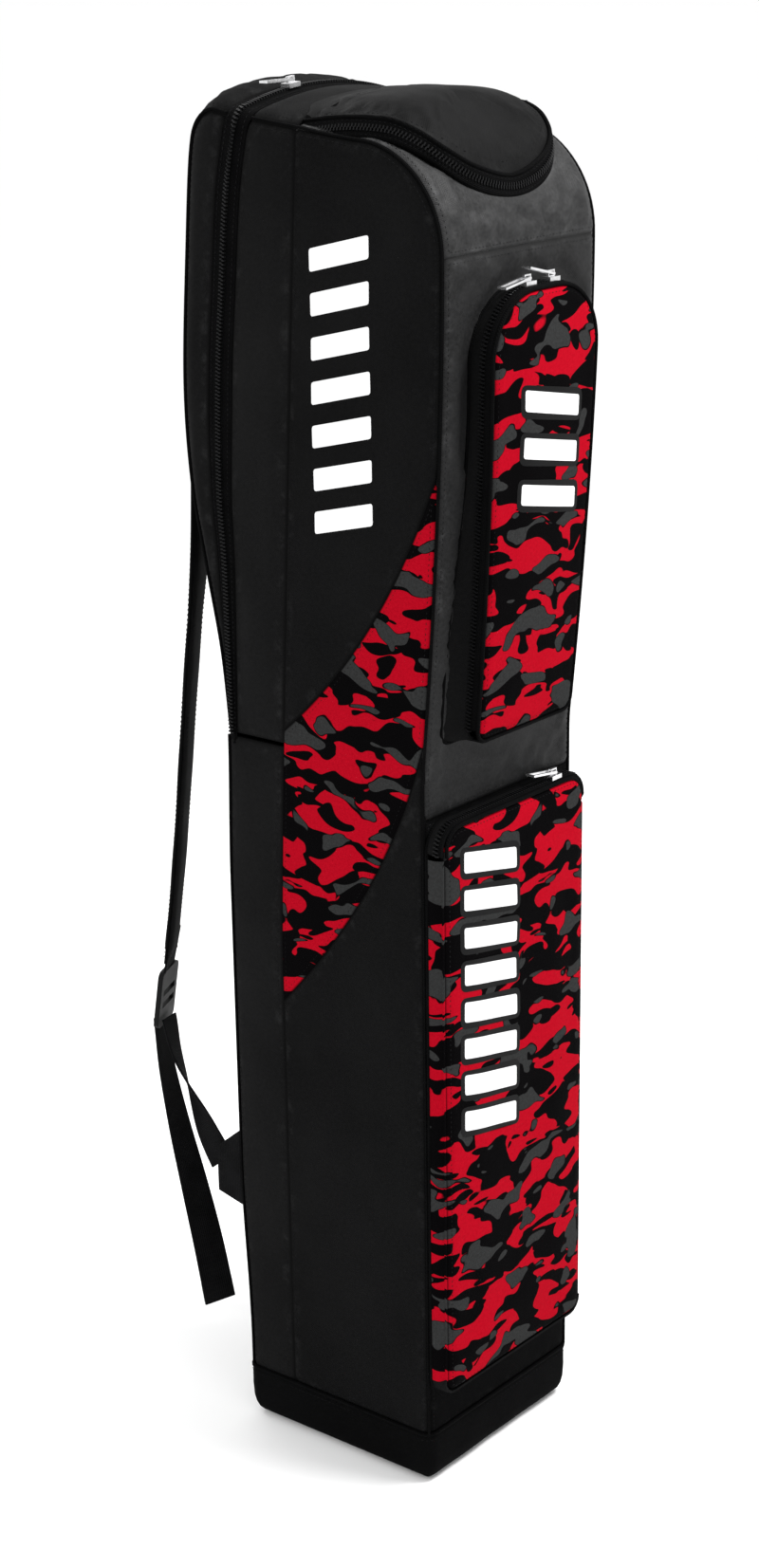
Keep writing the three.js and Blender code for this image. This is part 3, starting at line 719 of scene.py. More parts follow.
def shaded(graph, colour, wear_and_highlight, patch):
    """The cloth's colour with faint mottling, partly painted soft light and shade, darker in the seams, and
    paler beside them as rubbed wear and painted highlight.
    """
    broad = graph.noise(graph.place(), 9.0, 3.0)
    fine = graph.noise(graph.cloth((0.35, 0.35, 0.35)), 1.0, 3.0, 0.7)
    tone = graph.math("ADD", graph.times(broad, 0.5), graph.times(fine, 0.5))
    # The mottling is random tone, deepened on the grey cloths as painted soft light and shade.
    base = graph.mix(graph.ramp(tone, 0.38, 0.62), tint(colour, 1 - patch), tint(colour, 1 + patch))
    base = graph.mix(graph.ramp(graph.edge(), 0.4, 2.0), tint(colour, 0.45), base)
    seam, beyond = graph.ramp(graph.edge(), 1.0, 2.5), graph.ramp(graph.edge(), 4.0, 9.0)
    near = graph.math("SUBTRACT", seam, beyond, True)
    # The paler band beside the seams is partly rubbed wear and partly painted highlight.
    scuff_and_highlight = graph.times(near, graph.ramp(graph.noise(graph.place(), 70.0, 4.0, 0.7), 0.52, 0.72))
    return graph.mix(graph.times(scuff_and_highlight, wear_and_highlight), base, tint(colour, 3.2, 0.006))


def fabric(name, colour, roughness=0.8, specular=0.05, pitch=0.75, crease=0.3, wear_and_highlight=0.5, patch=0.28):
    graph = Graph(name)
    uneven = graph.times(graph.noise(graph.place(), 40.0, 2.0), 0.2)
    rough = graph.math("ADD", uneven, roughness - 0.1)
    base = shaded(graph, colour, wear_and_highlight, patch)
    return graph.finish(base, rough, fabric_bump(graph, pitch, crease), Specular_IOR_Level=specular)


def camo_fabric():
    """Printed cloth: lobed red and grey blotches on black, stretched along the bag's width."""
    graph = Graph("camo_print")
    cloth = graph.cloth()
    sway = graph.noise(graph.vector("MULTIPLY", cloth, (0.03, 0.045, 1)), 1.0, 0.0, output="Color")
    shift = graph.vector("SUBTRACT", sway, (0.5, 0.5, 0.5))
    moved = graph.vector("ADD", cloth, graph.vector("MULTIPLY", shift, (17, 17, 0)))

    def blotch(size_u, size_v, offset, low):
        at = graph.vector("ADD", moved, offset)
        value = graph.noise(graph.vector("MULTIPLY", at, (1 / size_u, 1 / size_v, 1)), 1.0, 1.1, 0.45)
        return graph.ramp(value, low - 0.003, low + 0.003)

    red = blotch(36, 18, (300, 120, 4), 0.495)
    grey = blotch(30, 17, (40, 700, 9), 0.59)
    black = blotch(32, 13, (900, 40, 17), 0.60)
    rim = blotch(30, 17, (40, 700, 9), 0.575)
    fade = graph.noise(graph.vector("MULTIPLY", cloth, (0.5, 0.5, 1)), 1.0, 3.0, 0.7)
    bright = graph.mix(graph.ramp(fade, 0.3, 0.75), (0.31, 0.0012, 0.0085, 1), (0.39, 0.0025, 0.012, 1))
    ash = graph.mix(graph.ramp(fade, 0.3, 0.75), (0.019, 0.019, 0.019, 1), (0.031, 0.032, 0.032, 1))
    ground = (0.0012, 0.0010, 0.0012, 1)
    colour = graph.mix(red, ground, bright)
    colour = graph.mix(black, colour, ground)
    colour = graph.mix(rim, colour, ground)
    colour = graph.mix(grey, colour, ash)
    colour = graph.mix(graph.ramp(graph.edge(), 0.2, 1.6), ground, colour)
    return graph.finish(colour, 0.85, fabric_bump(graph, 0.7, 0.25), Specular_IOR_Level=0.018)


def webbing_fabric(name, colour, rib=1.6):
    """Ribbed webbing: raised cords along the length, crossed by a fine weave."""
    graph = Graph(name)
    ribs, cross = graph.waves(rib, 1.3)
    height = graph.math("ADD", ribs, graph.times(cross, 0.5))
    fuzz = graph.noise(graph.place(), 900.0, 2.0)
    normal = graph.bump(graph.math("ADD", height, fuzz), 0.5, 0.0004)
    tone = graph.ramp(graph.noise(graph.place(), 60.0, 3.0), 0.3, 0.7)
    base = graph.mix(tone, tint(colour, 0.7), tint(colour, 1.4))
    return graph.finish(base, 0.85, normal, Specular_IOR_Level=0.04)


def metal(name):
    graph = Graph(name)
    scratches = graph.noise(graph.vector("MULTIPLY", graph.place(), (900, 2600, 900)), 1.0, 3.0, 0.6)
    cloud = graph.noise(graph.place(), 180.0, 2.0)
    base = graph.mix(graph.ramp(cloud, 0.3, 0.7), (0.72, 0.72, 0.73, 1), (0.88, 0.88, 0.89, 1))
    rough = graph.math("ADD", graph.times(scratches, 0.16), 0.14)
    return graph.finish(base, rough, graph.bump(scratches, 0.12, 0.0001), Metallic=0.95)


def plastic(name, colour, roughness):
    graph = Graph(name)
    grain = graph.noise(graph.place(), 1400.0, 2.0, 0.6)
    cloud = graph.noise(graph.place(), 90.0, 2.0)
    base = graph.mix(cloud, tint(colour, 0.8), tint(colour, 1.25))
    rough = graph.math("ADD", graph.times(cloud, 0.15), roughness - 0.07)
    return graph.finish(base, rough, graph.bump(grain, 0.2, 0.0001), Specular_IOR_Level=0.1)


def ink(name, colour):
    """Screen-printed ink: the weave shows through, with a few rubbed-off specks."""
    graph = Graph(name)
    speck = graph.ramp(graph.noise(graph.place(), 420.0, 3.0, 0.7), 0.70, 0.78)
    tone = graph.noise(graph.place(), 50.0, 2.0)
    base = graph.mix(tone, tint(colour, 0.94), tint(colour, 1))
    base = graph.mix(graph.times(speck, 0.4), base, tint(colour, 0.3))
    return graph.finish(base, 0.65, graph.bump(woven(graph, 0.75), 0.15, 0.0003), Specular_IOR_Level=0.1)


make_camera()
make_studio()

BLACK = fabric("black_cloth", (0.0036, 0.0036, 0.0037), specular=0.04)
BASE = fabric("base_cloth", (0.0024, 0.0024, 0.0025), specular=0.015, pitch=1.0, wear_and_highlight=0.6)
DARK = fabric("dark_cloth", (0.0050, 0.0050, 0.0051), crease=0.4)
# The grey cloths have deeper mottling and a strong pale band by the seams. These are partly painted soft
# light and painted highlight.
GREY = fabric("grey_cloth", (0.0112, 0.0112, 0.0114), 0.6, 0.11, wear_and_highlight=0.8, patch=0.5)
# The yoke cloth is a paler, shinier copy of the same grey cloth: painted light on the top of the bag, which
# faces the lamps.
YOKE_PAINTED_LIT = fabric("yoke_cloth_painted_lit", (0.0185, 0.0185, 0.0188), 0.56, 0.16, wear_and_highlight=0.8, crease=0.9, patch=0.5)
LID = fabric("lid_cloth", (0.0026, 0.0026, 0.0027), roughness=0.66, specular=0.07, crease=0.6)
CAMO = camo_fabric()
TAPE = webbing_fabric("zip_tape_cloth", (0.0013, 0.0013, 0.0014), rib=1.1)
WEB = webbing_fabric("strap_webbing", (0.0044, 0.0044, 0.0047))
PAD = fabric("pad_cloth", (0.0046, 0.0046, 0.0048), pitch=0.9)
THREAD = webbing_fabric("stitch_thread", (0.0100, 0.0100, 0.0105), rib=0.5)
TEETH = plastic("zip_teeth_plastic", (0.0045, 0.0045, 0.0048), 0.35)
METAL = metal("nickel_plate")
BUCKLE = plastic("buckle_moulding", (0.0020, 0.0020, 0.0022), 0.5)
BOARD = plastic("board_plastic", (0.03, 0.03, 0.032), 0.6)
WHITE = ink("white_ink", (0.80, 0.80, 0.80))
OUTLINE = ink("black_ink", (0.0028, 0.0028, 0.0030))

SLOTS = {
    "black_cloth": "black_fabric", "base_cloth": "black_fabric", "dark_cloth": "dark_fabric",
    "lid_cloth": "dark_fabric", "grey_cloth": "grey_fabric", "yoke_cloth_painted_lit": "grey_fabric",
    "camo_print": "camo_fabric", "zip_tape_cloth": "zip_tape", "zip_teeth_plastic": "zip_tape",
    "strap_webbing": "webbing", "stitch_thread": "webbing", "pad_cloth": "strap_fabric",
}


# ---- body panels -----------------------------------------------------------------------
def front_edge(z):
    return front_y(z) + CORNER * corner_radius(z)


def front_half(z):
    return SIDE - CORNER * corner_radius(z)


def side_surface(sign, reach=SIDE):
    return lambda uv, out: columns(sign * (reach + out), *uv.T)


def front_surface(uv, out):
    return columns(uv[:, 0], front_y(uv[:, 1]) - out, uv[:, 1])


def back_surface(uv, out):
    return columns(uv[:, 0], back_y(uv[:, 1]) + out, uv[:, 1])


def top_surface(uv, out):
    x, y = uv.T
    return columns(x, y, top_z(y) + crown(x) + out)


def along_profile(line, normals, lift=None):
    """A surface of (x, s), s being the length along a (y, z) line."""
    s = lengths(line)

    def place(uv, out):
        y, z, ny, nz = (np.interp(uv[:, 1], s, values) for values in (*line.T, *normals.T))
        z = z + nz * out
        if lift is not None:
            z = z + lift(uv[:, 0], z)
        return columns(uv[:, 0], y + ny * out, z)

    return place, s


def in_plane(x, line):
    """A (y, z) line in the plane at x."""
    return columns(x, *line.T)


def at_height(plan, z):
    """An (x, y) line at a height."""
    return columns(*plan.T, z)


def rectangle(x0, x1, v0, v1):
    return np.array([(x0, v0), (x1, v0), (x1, v1), (x0, v1)], float)


def side_roll(radius):
    """How far a panel falls back at the bag's left and right edges."""
    return lambda uv: rounding(SIDE - np.abs(uv[:, 0]), radius)


def soft(rise, reach, fold, seed, wave, away):
    """A panel's height: it swells between its seams, dips at them, and holds a few gentle folds.

    away(uv) is how far the panel falls back near the bag's own edges."""

    def height(uv, edge):
        swell = rise * smooth(edge / reach)
        folds = fold * ripple(uv[:, 0], uv[:, 1], seed, wave) * smooth(edge / 26)
        return swell + folds - 1.1 * np.exp(-((edge / 1.6) ** 2)) - away(uv)

    return height


def side_outlines():
    """The side panels' outlines in (y, z), from the foot up."""
    low, high = arc_points(LOWER_ARC, 26), arc_points(UPPER_ARC, 26)
    for arc in (low, high):
        arc[:, 0] = np.maximum(arc[:, 0], front_edge(arc[:, 1]))
        arc[0, 0] = front_edge(arc[0, 1])
    lower = np.vstack([[(42, CAP_TOP)], low[::-1], line_up(front_edge, 550, CAP_TOP, 8)])
    rear, front = line_up(rear_seam_y, 360, 538, 9), line_up(front_edge, 740, 575, 9)
    fall = CORNER * TOP_RADIUS
    top = np.vstack([top_line(np.linspace(LID_REAR, -30, 5), fall), front_arc(ARC_RADIUS - fall, 18)[::-1]])
    upper = np.vstack([high, line_up(rear_seam_y, 562, 944, 14), top, line_up(front_edge, 870, 764, 7)])
    return lower, np.vstack([low, rear, high[::-1], front]), upper


def make_sides():
    lower, band, upper = side_outlines()
    away = lambda uv: rounding(edge_distance(uv, SILHOUETTE, False), corner_radius(uv[:, 1]))
    for sign, side in SIDES:
        place = side_surface(sign)
        seed = 15 + 5 * sign
        sewn("side_lower_" + side, lower, place, soft(1.6, 34, 0.7, seed, 110, away), BLACK, step=5)
        sewn("side_band_" + side, band, place, soft(1.3, 30, 0.5, seed + 1, 90, away), CAMO, step=5)
        sewn("side_upper_" + side, upper, place, soft(2.6, 26, 0.6, seed + 2, 120, away), BLACK, step=5)
        make_rear_gusset(side, place, seed)


def make_rear_gusset(side, place, seed):
    """The strips between the side panels and the back or the rear zip."""
    back_edge = lambda z: back_y(z) - CORNER * BACK_RADIUS
    low = np.vstack([line_up(rear_seam_y, CAP_TOP, 538, 16), line_up(back_edge, 538, CAP_TOP, 16)])
    away = lambda uv: rounding(back_y(uv[:, 1]) - uv[:, 0], BACK_RADIUS)
    height = soft(1.4, 18, 0.5, seed + 3, 80, away)
    # These gussets are the black cloth, drawn in the paler dark cloth as painted light for their turn
    # towards the back.
    sewn("rear_gusset_lower_" + side, low, place, height, DARK, slot="black_fabric")
    zip_edge = lambda z: zip_y(z) - zip_half(z) - 0.2
    top = top_line(np.linspace(48.5, LID_REAR, 6), CORNER * TOP_RADIUS)
    high = np.vstack([line_up(zip_edge, 541, 950, 24), top, line_up(rear_seam_y, 944, 541, 20)])
    away = lambda uv: rounding(top_z(uv[:, 0]) - uv[:, 1], TOP_RADIUS)
    sewn("rear_gusset_upper_" + side, high, place, soft(2.6, 16, 0.5, seed + 4, 90, away), DARK)


def make_front():
    away = lambda uv: rounding(SIDE - np.abs(uv[:, 0]), corner_radius(uv[:, 1]))
    low = both_edges(front_half, CAP_TOP, FRONT_SEAM, 4)
    sewn("front_lower_panel", low, front_surface, soft(0.6, 20, 0.3, 31, 90, away), BASE, step=6)
    base = soft(0.9, 14, 0.0, 32, 60, away)

    def height(uv, edge):
        x, z = uv.T
        folds = 0.9 * ripple(x, z, 33, 48) + 0.5 * ripple(x, z, 34, 17)
        behind = smooth((np.abs(x) - 60) / 12) + smooth((z - 850) / 20) + smooth((552 - z) / 20)
        return base(uv, edge) + folds * np.minimum(behind, 1) * smooth(edge / 12)

    high = both_edges(front_half, FRONT_SEAM, YOKE_SEAM, 14)
    sewn("front_upper_panel", high, front_surface, height, GREY, settle=(0.02, 0.3, 1.0))


def lid_plan(half, front, count):
    """The lid's outline in plan from its left rear corner to its right rear corner."""
    a = np.linspace(math.pi, 0, count)
    c, s = np.cos(a), np.sin(a)
    x = np.sign(c) * np.abs(c) ** (2 / 3) * half
    y = -45 - np.abs(s) ** (2 / 3) * (-45 - front)
    return np.vstack([[(-half, LID_REAR - 0.5)], columns(x, y), [(half, LID_REAR - 0.5)]])


def make_yoke():
    """The panel from the front seam, over the arc, to the lid's rear, with the mouth cut out of it."""
    over = np.vstack([front_arc(ARC_RADIUS, 60), top_line(np.linspace(ARC_Y, LID_REAR, 20)[1:])])
    line = np.vstack([[(-109, YOKE_SEAM)], over])
    place, s = along_profile(line, -outward(line))
    right = line_up(lambda v: front_half(ARC_Z), 0, s[-1], 20)
    outline = np.vstack([right, right[::-1] * [-1, 1]])
    plan = lid_plan(73.5, -98.5, 60)
    hole = columns(plan[:, 0], np.interp(plan[:, 1], line[1:, 0], s[1:]))
    hole[0, 1] = hole[-1, 1] = s[-1] - 2.0
    base = soft(0.8, 16, 0.5, 41, 55, side_roll(TOP_RADIUS))

    def height(uv, edge):
        x, v = uv.T
        crease = 1.8 * np.exp(-(((np.abs(x) - 68 + 0.10 * v) / 5) ** 2)) * smooth((v - 8) / 30)
        folds = 0.9 * ripple(x + 0.8 * v, v - 0.5 * x, 42, 24) + 0.5 * ripple(x, v, 43, 13)
        free = smooth((edge_distance(uv, hole) - COLLAR_REACH) / 12)
        return base(uv, edge) + crease * smooth(edge / 9) + folds * smooth(edge / 14) * free

    sewn("front_yoke", outline, place, height, YOKE_PAINTED_LIT, holes=[hole], step=3.6, settle=(0.03, 0.5, 1.3))


def make_back():
    base = soft(3.0, 30, 0.9, 51, 90, side_roll(BACK_RADIUS))

    def height(uv, edge):
        x, z = uv.T
        return base(uv, edge) - 2.2 * np.exp(-((x / 2.4) ** 2)) * smooth((z - 70) / 60)

    low = both_edges(lambda z: SIDE - CORNER * BACK_RADIUS, CAP_TOP, WAIST, 6)
    sewn("back_lower", low, back_surface, height, BLACK, step=4.0, node="back_panel")
    line = spline(DIVIDER_LINE, 60)
    place, s = along_profile(line, outward(line))
    height = soft(1.0, 20, 0.5, 52, 90, lambda uv: 0.0)
    sewn("divider", rectangle(-80, 80, 0, s[-1]), place, height, DARK, step=8)
    half = SIDE - CORNER * TOP_RADIUS
    height = soft(1.4, 12, 0.6, 53, 60, side_roll(TOP_RADIUS))
    sewn("rear_gusset_top", rectangle(-half, half, LID_REAR, 48.6), top_surface, height, DARK, step=3.6)


def rounded_ring(grow, radius):
    """A rounded rectangle round the bag's foot, with as many points whatever its size."""
    half_x, front, back = SIDE + grow, -BACK - 0.4 - grow, BACK + 0.2 + grow
    corners = [(half_x - radius, back - radius), (-half_x + radius, back - radius),
               (-half_x + radius, front + radius), (half_x - radius, front + radius)]
    arcs = [corner_arc(x, y, radius, quarter, 12) for quarter, (x, y) in enumerate(corners)]
    ring = []
    for arc, following in zip(arcs, arcs[1:] + arcs[:1]):
        ring += [arc, arc[-1] + (following[0] - arc[-1]) * np.linspace(0, 1, 20)[1:-1, None]]
    return np.vstack(ring)


def make_base():
    """The base cap: a tray with rounded edges, sewn round the foot of the walls."""
    outer = [(0.2, CAP_TOP + 0.6), (-0.9, CAP_TOP - 1), (-1.3, 34), (-1.2, 24), (-0.6, 14), (0.6, 8.5),
             (2.6, 4.4), (5.6, 1.6), (9.5, 0.2), (22, 0.0), (50, 0.0), (78, 0.0)]
    inner = [(3.4, CAP_TOP + 0.6), (3.2, 30), (3.4, 12), (6.5, 5.2), (11, 3.2), (50, 3.0), (78, 3.0)]
    rings = []
    for inward, z in inner[::-1] + outer:
        ring = rounded_ring(-inward, max(9.0 - inward, 0.8))
        wave = 0.7 * ripple(ring[:, 0] + ring[:, 1], np.full(len(ring), z), 61, 70) * (3 < z < 38)
        rings.append(at_height(ring + unit(ring) * (wave * smooth((9.0 - inward) / 9))[:, None], z))
    points, faces = skin(np.array(rings))
    round_foot = np.tile(np.linspace(0, 660, len(rings[0])), len(rings))
    flat = columns(round_foot, points[:, 2] + 0.7 * (80 - np.abs(points[:, 0])))
    piece("base_cap", points, faces, BASE, "bag", flat)
    tube("base_piping", at_height(rounded_ring(0.5, 9.0), CAP_TOP), 1.5, "bag", closed=True)
    ring = rounded_ring(1.15, 9.0)
    ring = np.vstack([ring, ring[:1]])
    stitch("bag", at_height(ring, CAP_TOP - 4.5), at_height(unit(ring), 0.0))


def make_piping():
    """Cord in the seams at the bag's corners."""
    proud = 0.35
    heights = np.linspace(CAP_TOP, ARC_Z, 90)
    fall = CORNER * TOP_RADIUS - proud
    depth = np.linspace(ARC_Y, 48, 16)[1:]
    top = top_line(depth, fall)
    top[:, 1] += crown(SIDE - fall) * smooth((depth + 10) / 20)
    over = np.vstack([front_arc(ARC_RADIUS - fall, 30)[1:], top])
    sink = CORNER * BACK_RADIUS - proud
    rear = line_up(lambda z: back_y(z) - sink, CAP_TOP, 538, 60)
    for sign, side in SIDES:
        up = columns(sign * (front_half(heights) + proud), front_edge(heights) - proud, heights)
        line = np.vstack([up, in_plane(sign * (SIDE - fall), over)])
        tube("front_piping_" + side, even(line, 190), 1.15, "bag", sides=6)
        tube("back_piping_" + side, in_plane(sign * (SIDE - sink), rear), 1.15, "bag", sides=6)


# ---- rear compartment ------------------------------------------------------------------
def band_line(share, out):
    """A line along the rear zip band, up one side, over the top and down the other.

    share is -1 at its front edge and 1 at its rear edge; out is how far it stands off."""
    depth = 59.5 + share * 10.5
    top = float(top_z(depth))
    radius = TOP_RADIUS
    heights = np.linspace(541, top - radius, 80)
    y = zip_y(heights) + share * zip_half(heights)
    a = np.linspace(0, math.pi / 2, 9)[1:]
    x = -(SIDE - radius) - (radius + out) * np.cos(a)
    z = top - radius + (radius + out) * np.sin(a) + crown(SIDE - radius) * np.sin(a)
    arc = columns(x, y[-1] + (depth - y[-1]) * np.sin(a), z)
    x = np.linspace(-(SIDE - radius), 0, 34)[1:]
    over = columns(x, depth, top + out + crown(x))
    side = columns(-SIDE - out, y, heights)
    left = np.vstack([side, arc, over])
    return np.vstack([left, (left * [-1, 1, 1])[-2::-1]])


def make_zip_band():
    rows = [(1, -1.6), (0.97, -0.9), (0.6, -0.2), (0.3, -0.1), (0.12, 0.5), (0.02, 0.4)]
    for end, body, side, profile in (("body", "bag", -1, rows), ("shell", "rear_shell", 1, rows[::-1])):
        outer = [band_line(side * share, out) for share, out in profile]
        inner = [band_line(side * share, -2.6) for share, _ in profile]
        grid_piece("rear_zip_tape_" + end, outer, inner, TAPE, body)
        line = band_line(side * 0.72, 0.0)
        stitch(body, line, band_line(side * 0.72, 1.0) - line)
    line = band_line(0, 0.7)
    zip_teeth("rear_zip_teeth", line, band_line(0, 2.7) - line, "rear_shell", ("body", "shell"))


def make_rear_shell():
    normals = outward(SHELL_CURVE)
    share = lambda z: np.clip((z - 905) / 50, 0, 1)
    place, s = along_profile(SHELL_CURVE, normals, lambda x, z: crown(x) * share(z))
    fall = CORNER * SHELL_RADIUS
    half = SIDE - fall
    back = np.array([(half, 0), (half, s[-1]), (-half, s[-1]), (-half, 0)], float)
    height = soft(2.4, 30, 1.2, 71, 95, side_roll(SHELL_RADIUS))
    sewn("rear_shell_back", back, place, height, DARK, "rear_shell", step=5, settle=(0.03, 0.6, 2.2))
    inner = SHELL_CURVE - fall * normals
    inner = inner[inner[:, 1] > 545]
    front = line_up(lambda z: zip_y(z) + zip_half(z) + 0.2, min(inner[-1, 1] - 1.5, 962), 543, 26)
    outline = np.vstack([inner[::4], front])
    around = lambda uv: rounding(edge_distance(uv, SHELL_CURVE, False), SHELL_RADIUS)
    height = soft(2.2, 14, 0.5, 72, 80, around)
    seam = SHELL_CURVE - (fall - 0.4) * normals
    seam[:, 1] += crown(half) * share(seam[:, 1])
    for sign, side in SIDES:
        sewn("rear_shell_side_" + side, outline, side_surface(sign), height, DARK, "rear_shell", step=4)
        line = even(in_plane(sign * (half + 0.4), seam), 110)
        tube("shell_piping_" + side, line, 1.2, "rear_shell", sides=6)
    make_shell_fold()


def make_shell_fold():
    """The bound seam the rear compartment folds on, from one end of its zip round the back to the other."""
    reach, rear, radius = 84.6, 89.0, 11.0
    middle = np.linspace(80.0, rear - radius, 5)[:-1]
    bend = corner_arc(reach - radius, rear - radius, radius, 0, 12)
    right = np.vstack([columns(reach, middle), bend])
    line = even(np.vstack([right, right[::-1] * [-1, 1]]), 90)
    normals = outward(line)
    rows = [(533.5, -0.6), (534.5, 0.5), (537, 0.9), (540, 1.1), (543, 1.3), (546, 1.3), (547, 0.2)]
    outer = [at_height(line + out * normals, z) for z, out in rows]
    inner = [at_height(line + (out - 1.4) * normals, z) for z, out in rows]
    fold = grid_piece("rear_shell_fold", outer, inner, TAPE, None)
    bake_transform(fold)


# ---- lid -------------------------------------------------------------------------------
LID_LOW = [(-83, 10.5, 946.5), (-81, -30, 952), (-77, -60, 951), (-71, -78, 944), (-60, -89, 934),
           (-46, -97, 923.5), (-26, -101.5, 915.5), (0, -103, 912)]
LID_HIGH = [(-74, 10.5, 961), (-73, -20, 964.5), (-72, -45, 965), (-70, -60, 963.5), (-65.5, -76, 957),
            (-55, -89.5, 946), (-34, -97, 934), (0, -99.5, 926)]
LID_TOP = (0.0, -36.0, 978.0)


def lid_edge(points, right_half=None):
    """A line round the lid from its left rear corner to its right one."""
    left = np.array(points, float)
    right = left[-2::-1] * [-1, 1, 1]
    if right_half is not None:
        grow = right_half / right[-1, 0]
        right[:, 0] *= 1 + (grow - 1) * smooth((right[:, 1] + 95) / 50)
    return spline(np.vstack([left, right]), 150)


def make_lid():
    low, high = lid_edge(LID_LOW), lid_edge(LID_HIGH, 77.0)
    rise = high - low
    normal = unit(np.cross(tangents(low), rise))
    middle = np.array([0, -40, 900.0])
    normal *= np.sign(np.sum(normal * (low - middle), axis=1))[:, None]

    def at(share, out):
        return low + share * rise + (out + 0.8 * math.sin(math.pi * share)) * normal

    collar = [(0.0, -0.9), (0.04, 0.35), (0.14, 0.7), (0.27, 0.4), (0.40, 0.2), (0.47, -0.3)]
    skirt = [(1 - share, out) for share, out in collar[::-1]]
    for name, body, rows, seam in (("lid_collar", "bag", collar, 0.19), ("lid_skirt", "lid", skirt, 0.81)):
        outer = [at(share, out) for share, out in rows]
        grid_piece(name, outer, [at(share, -2.2) for share, _ in rows], TAPE, body, slot="black_fabric")
        stitch(body, at(seam, 0.65), at(seam, 2) - at(seam, 0.65))
    zip_teeth("lid_zip_teeth", at(0.5, 0.1), at(0.5, 2.1) - at(0.5, 0.1), "lid", ("collar", "skirt"), 1)
    tube("lid_piping", at(1.0, 0.5), 1.5, "lid")
    make_lid_panel(high)


def lid_dome(border, share, drop):
    """The lid's top at a share of the way out from its crown to its border."""
    centre = np.array(LID_TOP)
    ring = centre + (border - centre) * share
    ring[:, 2] = border[:, 2] + (centre[2] - border[:, 2]) * (1 - share**2.5)
    fold = 0.55 * ripple(ring[:, 0], ring[:, 1], 81, 60) * smooth((1 - share) * 4)
    fine = 0.4 * ripple(0.5 * ring[:, 0], ring[:, 1], 82, 13)
    ring[:, 2] += fold + fine * smooth((share - 0.45) * 3) * smooth((1 - share) * 9) - drop
    return ring


def settled_dome(rings, border):
    """The dome's rings after its cloth has settled inside its border."""
    along = np.roll(rings, -1, axis=1) - np.roll(rings, 1, axis=1)
    normals = unit(np.cross(along, np.gradient(rings, axis=0)))
    normals = (normals * np.sign(normals[:, :, 2:])).reshape(-1, 3)
    points, faces = skin(rings)
    edge = np.linalg.norm(rings - border, axis=2).ravel()
    moved = settled(points, faces[:-2], edge, normals, 0.035, 0.35, 1.5)
    return rings + (moved[:, None] * normals).reshape(rings.shape)


def lid_rear(x, half):
    """The height of the lid's rear edge across the bag."""
    return 961.5 + 14 * (1 - np.abs(x / half) ** 2.2)


def make_lid_panel(high):
    x = np.linspace(high[-1, 0], high[0, 0], 42)[1:-1]
    half = np.where(x > 0, high[-1, 0], -high[0, 0])
    border = np.vstack([high, columns(x, 10.5, lid_rear(x, half))])
    shares = np.concatenate([[0.02], np.arange(0.08, 0.9, 0.045), [0.92, 0.94, 0.96, 0.975, 0.99, 1.0]])
    top = np.array([lid_dome(border, k, 0.9 * smooth((k - 0.96) / 0.04)) for k in shares])
    under = np.array([lid_dome(border, k, 2.4) for k in shares])
    rings = np.vstack([under, settled_dome(top, border)[::-1]])
    points, faces = skin(rings)
    edge = np.linalg.norm(rings - border, axis=2).ravel()
    piece("lid_panel", points, faces, LID, "lid", points[:, :2], edge)
    ring = lid_dome(border, 0.93, 0.0)[: len(high)]
    stitch("lid", ring, [0, 0, 1.0] + 0.4 * unit(ring - LID_TOP))
    x, y = np.meshgrid(np.linspace(-72, 72, 40), np.linspace(3, 20, 9))
    lid_side = lid_rear(x, 75) + 1.2
    body_side = top_z(y) + crown(x) + 1.6
    z = lid_side + (body_side - lid_side) * smooth((y - 6) / 10)
    narrow = smooth((np.abs(x) - 54) / 18)
    outer = columns(x, 3 + (y - 3) * (1 - 0.55 * narrow), z - 1.5 * narrow)
    fold = grid_piece("lid_fold", outer, outer - [0, 0, 1.6], LID, None)
    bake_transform(fold)


# ---- pockets ---------------------------------------------------------------------------
UPPER = dict(half=58, low=54, bottom=558, top=858, corner=45, foot=10, proud=21, split=11.55, roll=6.0)
LOWER = dict(half=83, low=83, bottom=75, top=505, corner=18, foot=12, proud=16, split=8.8, roll=10.0)


def pocket_loop(p, shrink=0.0):
    """A pocket's outline in (x, z), evenly spaced, running up the right side from the foot's middle."""
    high, low = p["half"] - shrink, p["low"] - shrink
    corner, foot = p["corner"] - shrink, max(p["foot"] - shrink, 1.0)
    bottom, top = p["bottom"] + shrink, p["top"] - shrink
    line = np.vstack([
        [(0, bottom)],
        corner_arc(low - foot, bottom + foot, foot, 3, 14),
        corner_arc(high - corner, top - corner, corner, 0, 14),
        corner_arc(-high + corner, top - corner, corner, 1, 14),
        corner_arc(-low + foot, bottom + foot, foot, 2, 14),
        [(0, bottom)],
    ])
    return even(line, 261)[:-1]


def pocket_row(loop, depth, flare=0.0):
    """The outline moved to a depth in front of the wall; flare widens its lower part."""
    x, z = loop.T
    x = x + np.sign(x) * flare * 16 * smooth((785 - z) / 190) * smooth((np.abs(x) - 25) / 25)
    return columns(x, front_y(z) - depth, z)


def loop_outward(loop):
    """The directions out of a pocket's outline, in space."""
    d = np.roll(loop, -1, axis=0) - np.roll(loop, 1, axis=0)
    return unit(columns(d[:, 1], 0.0, -d[:, 0]))


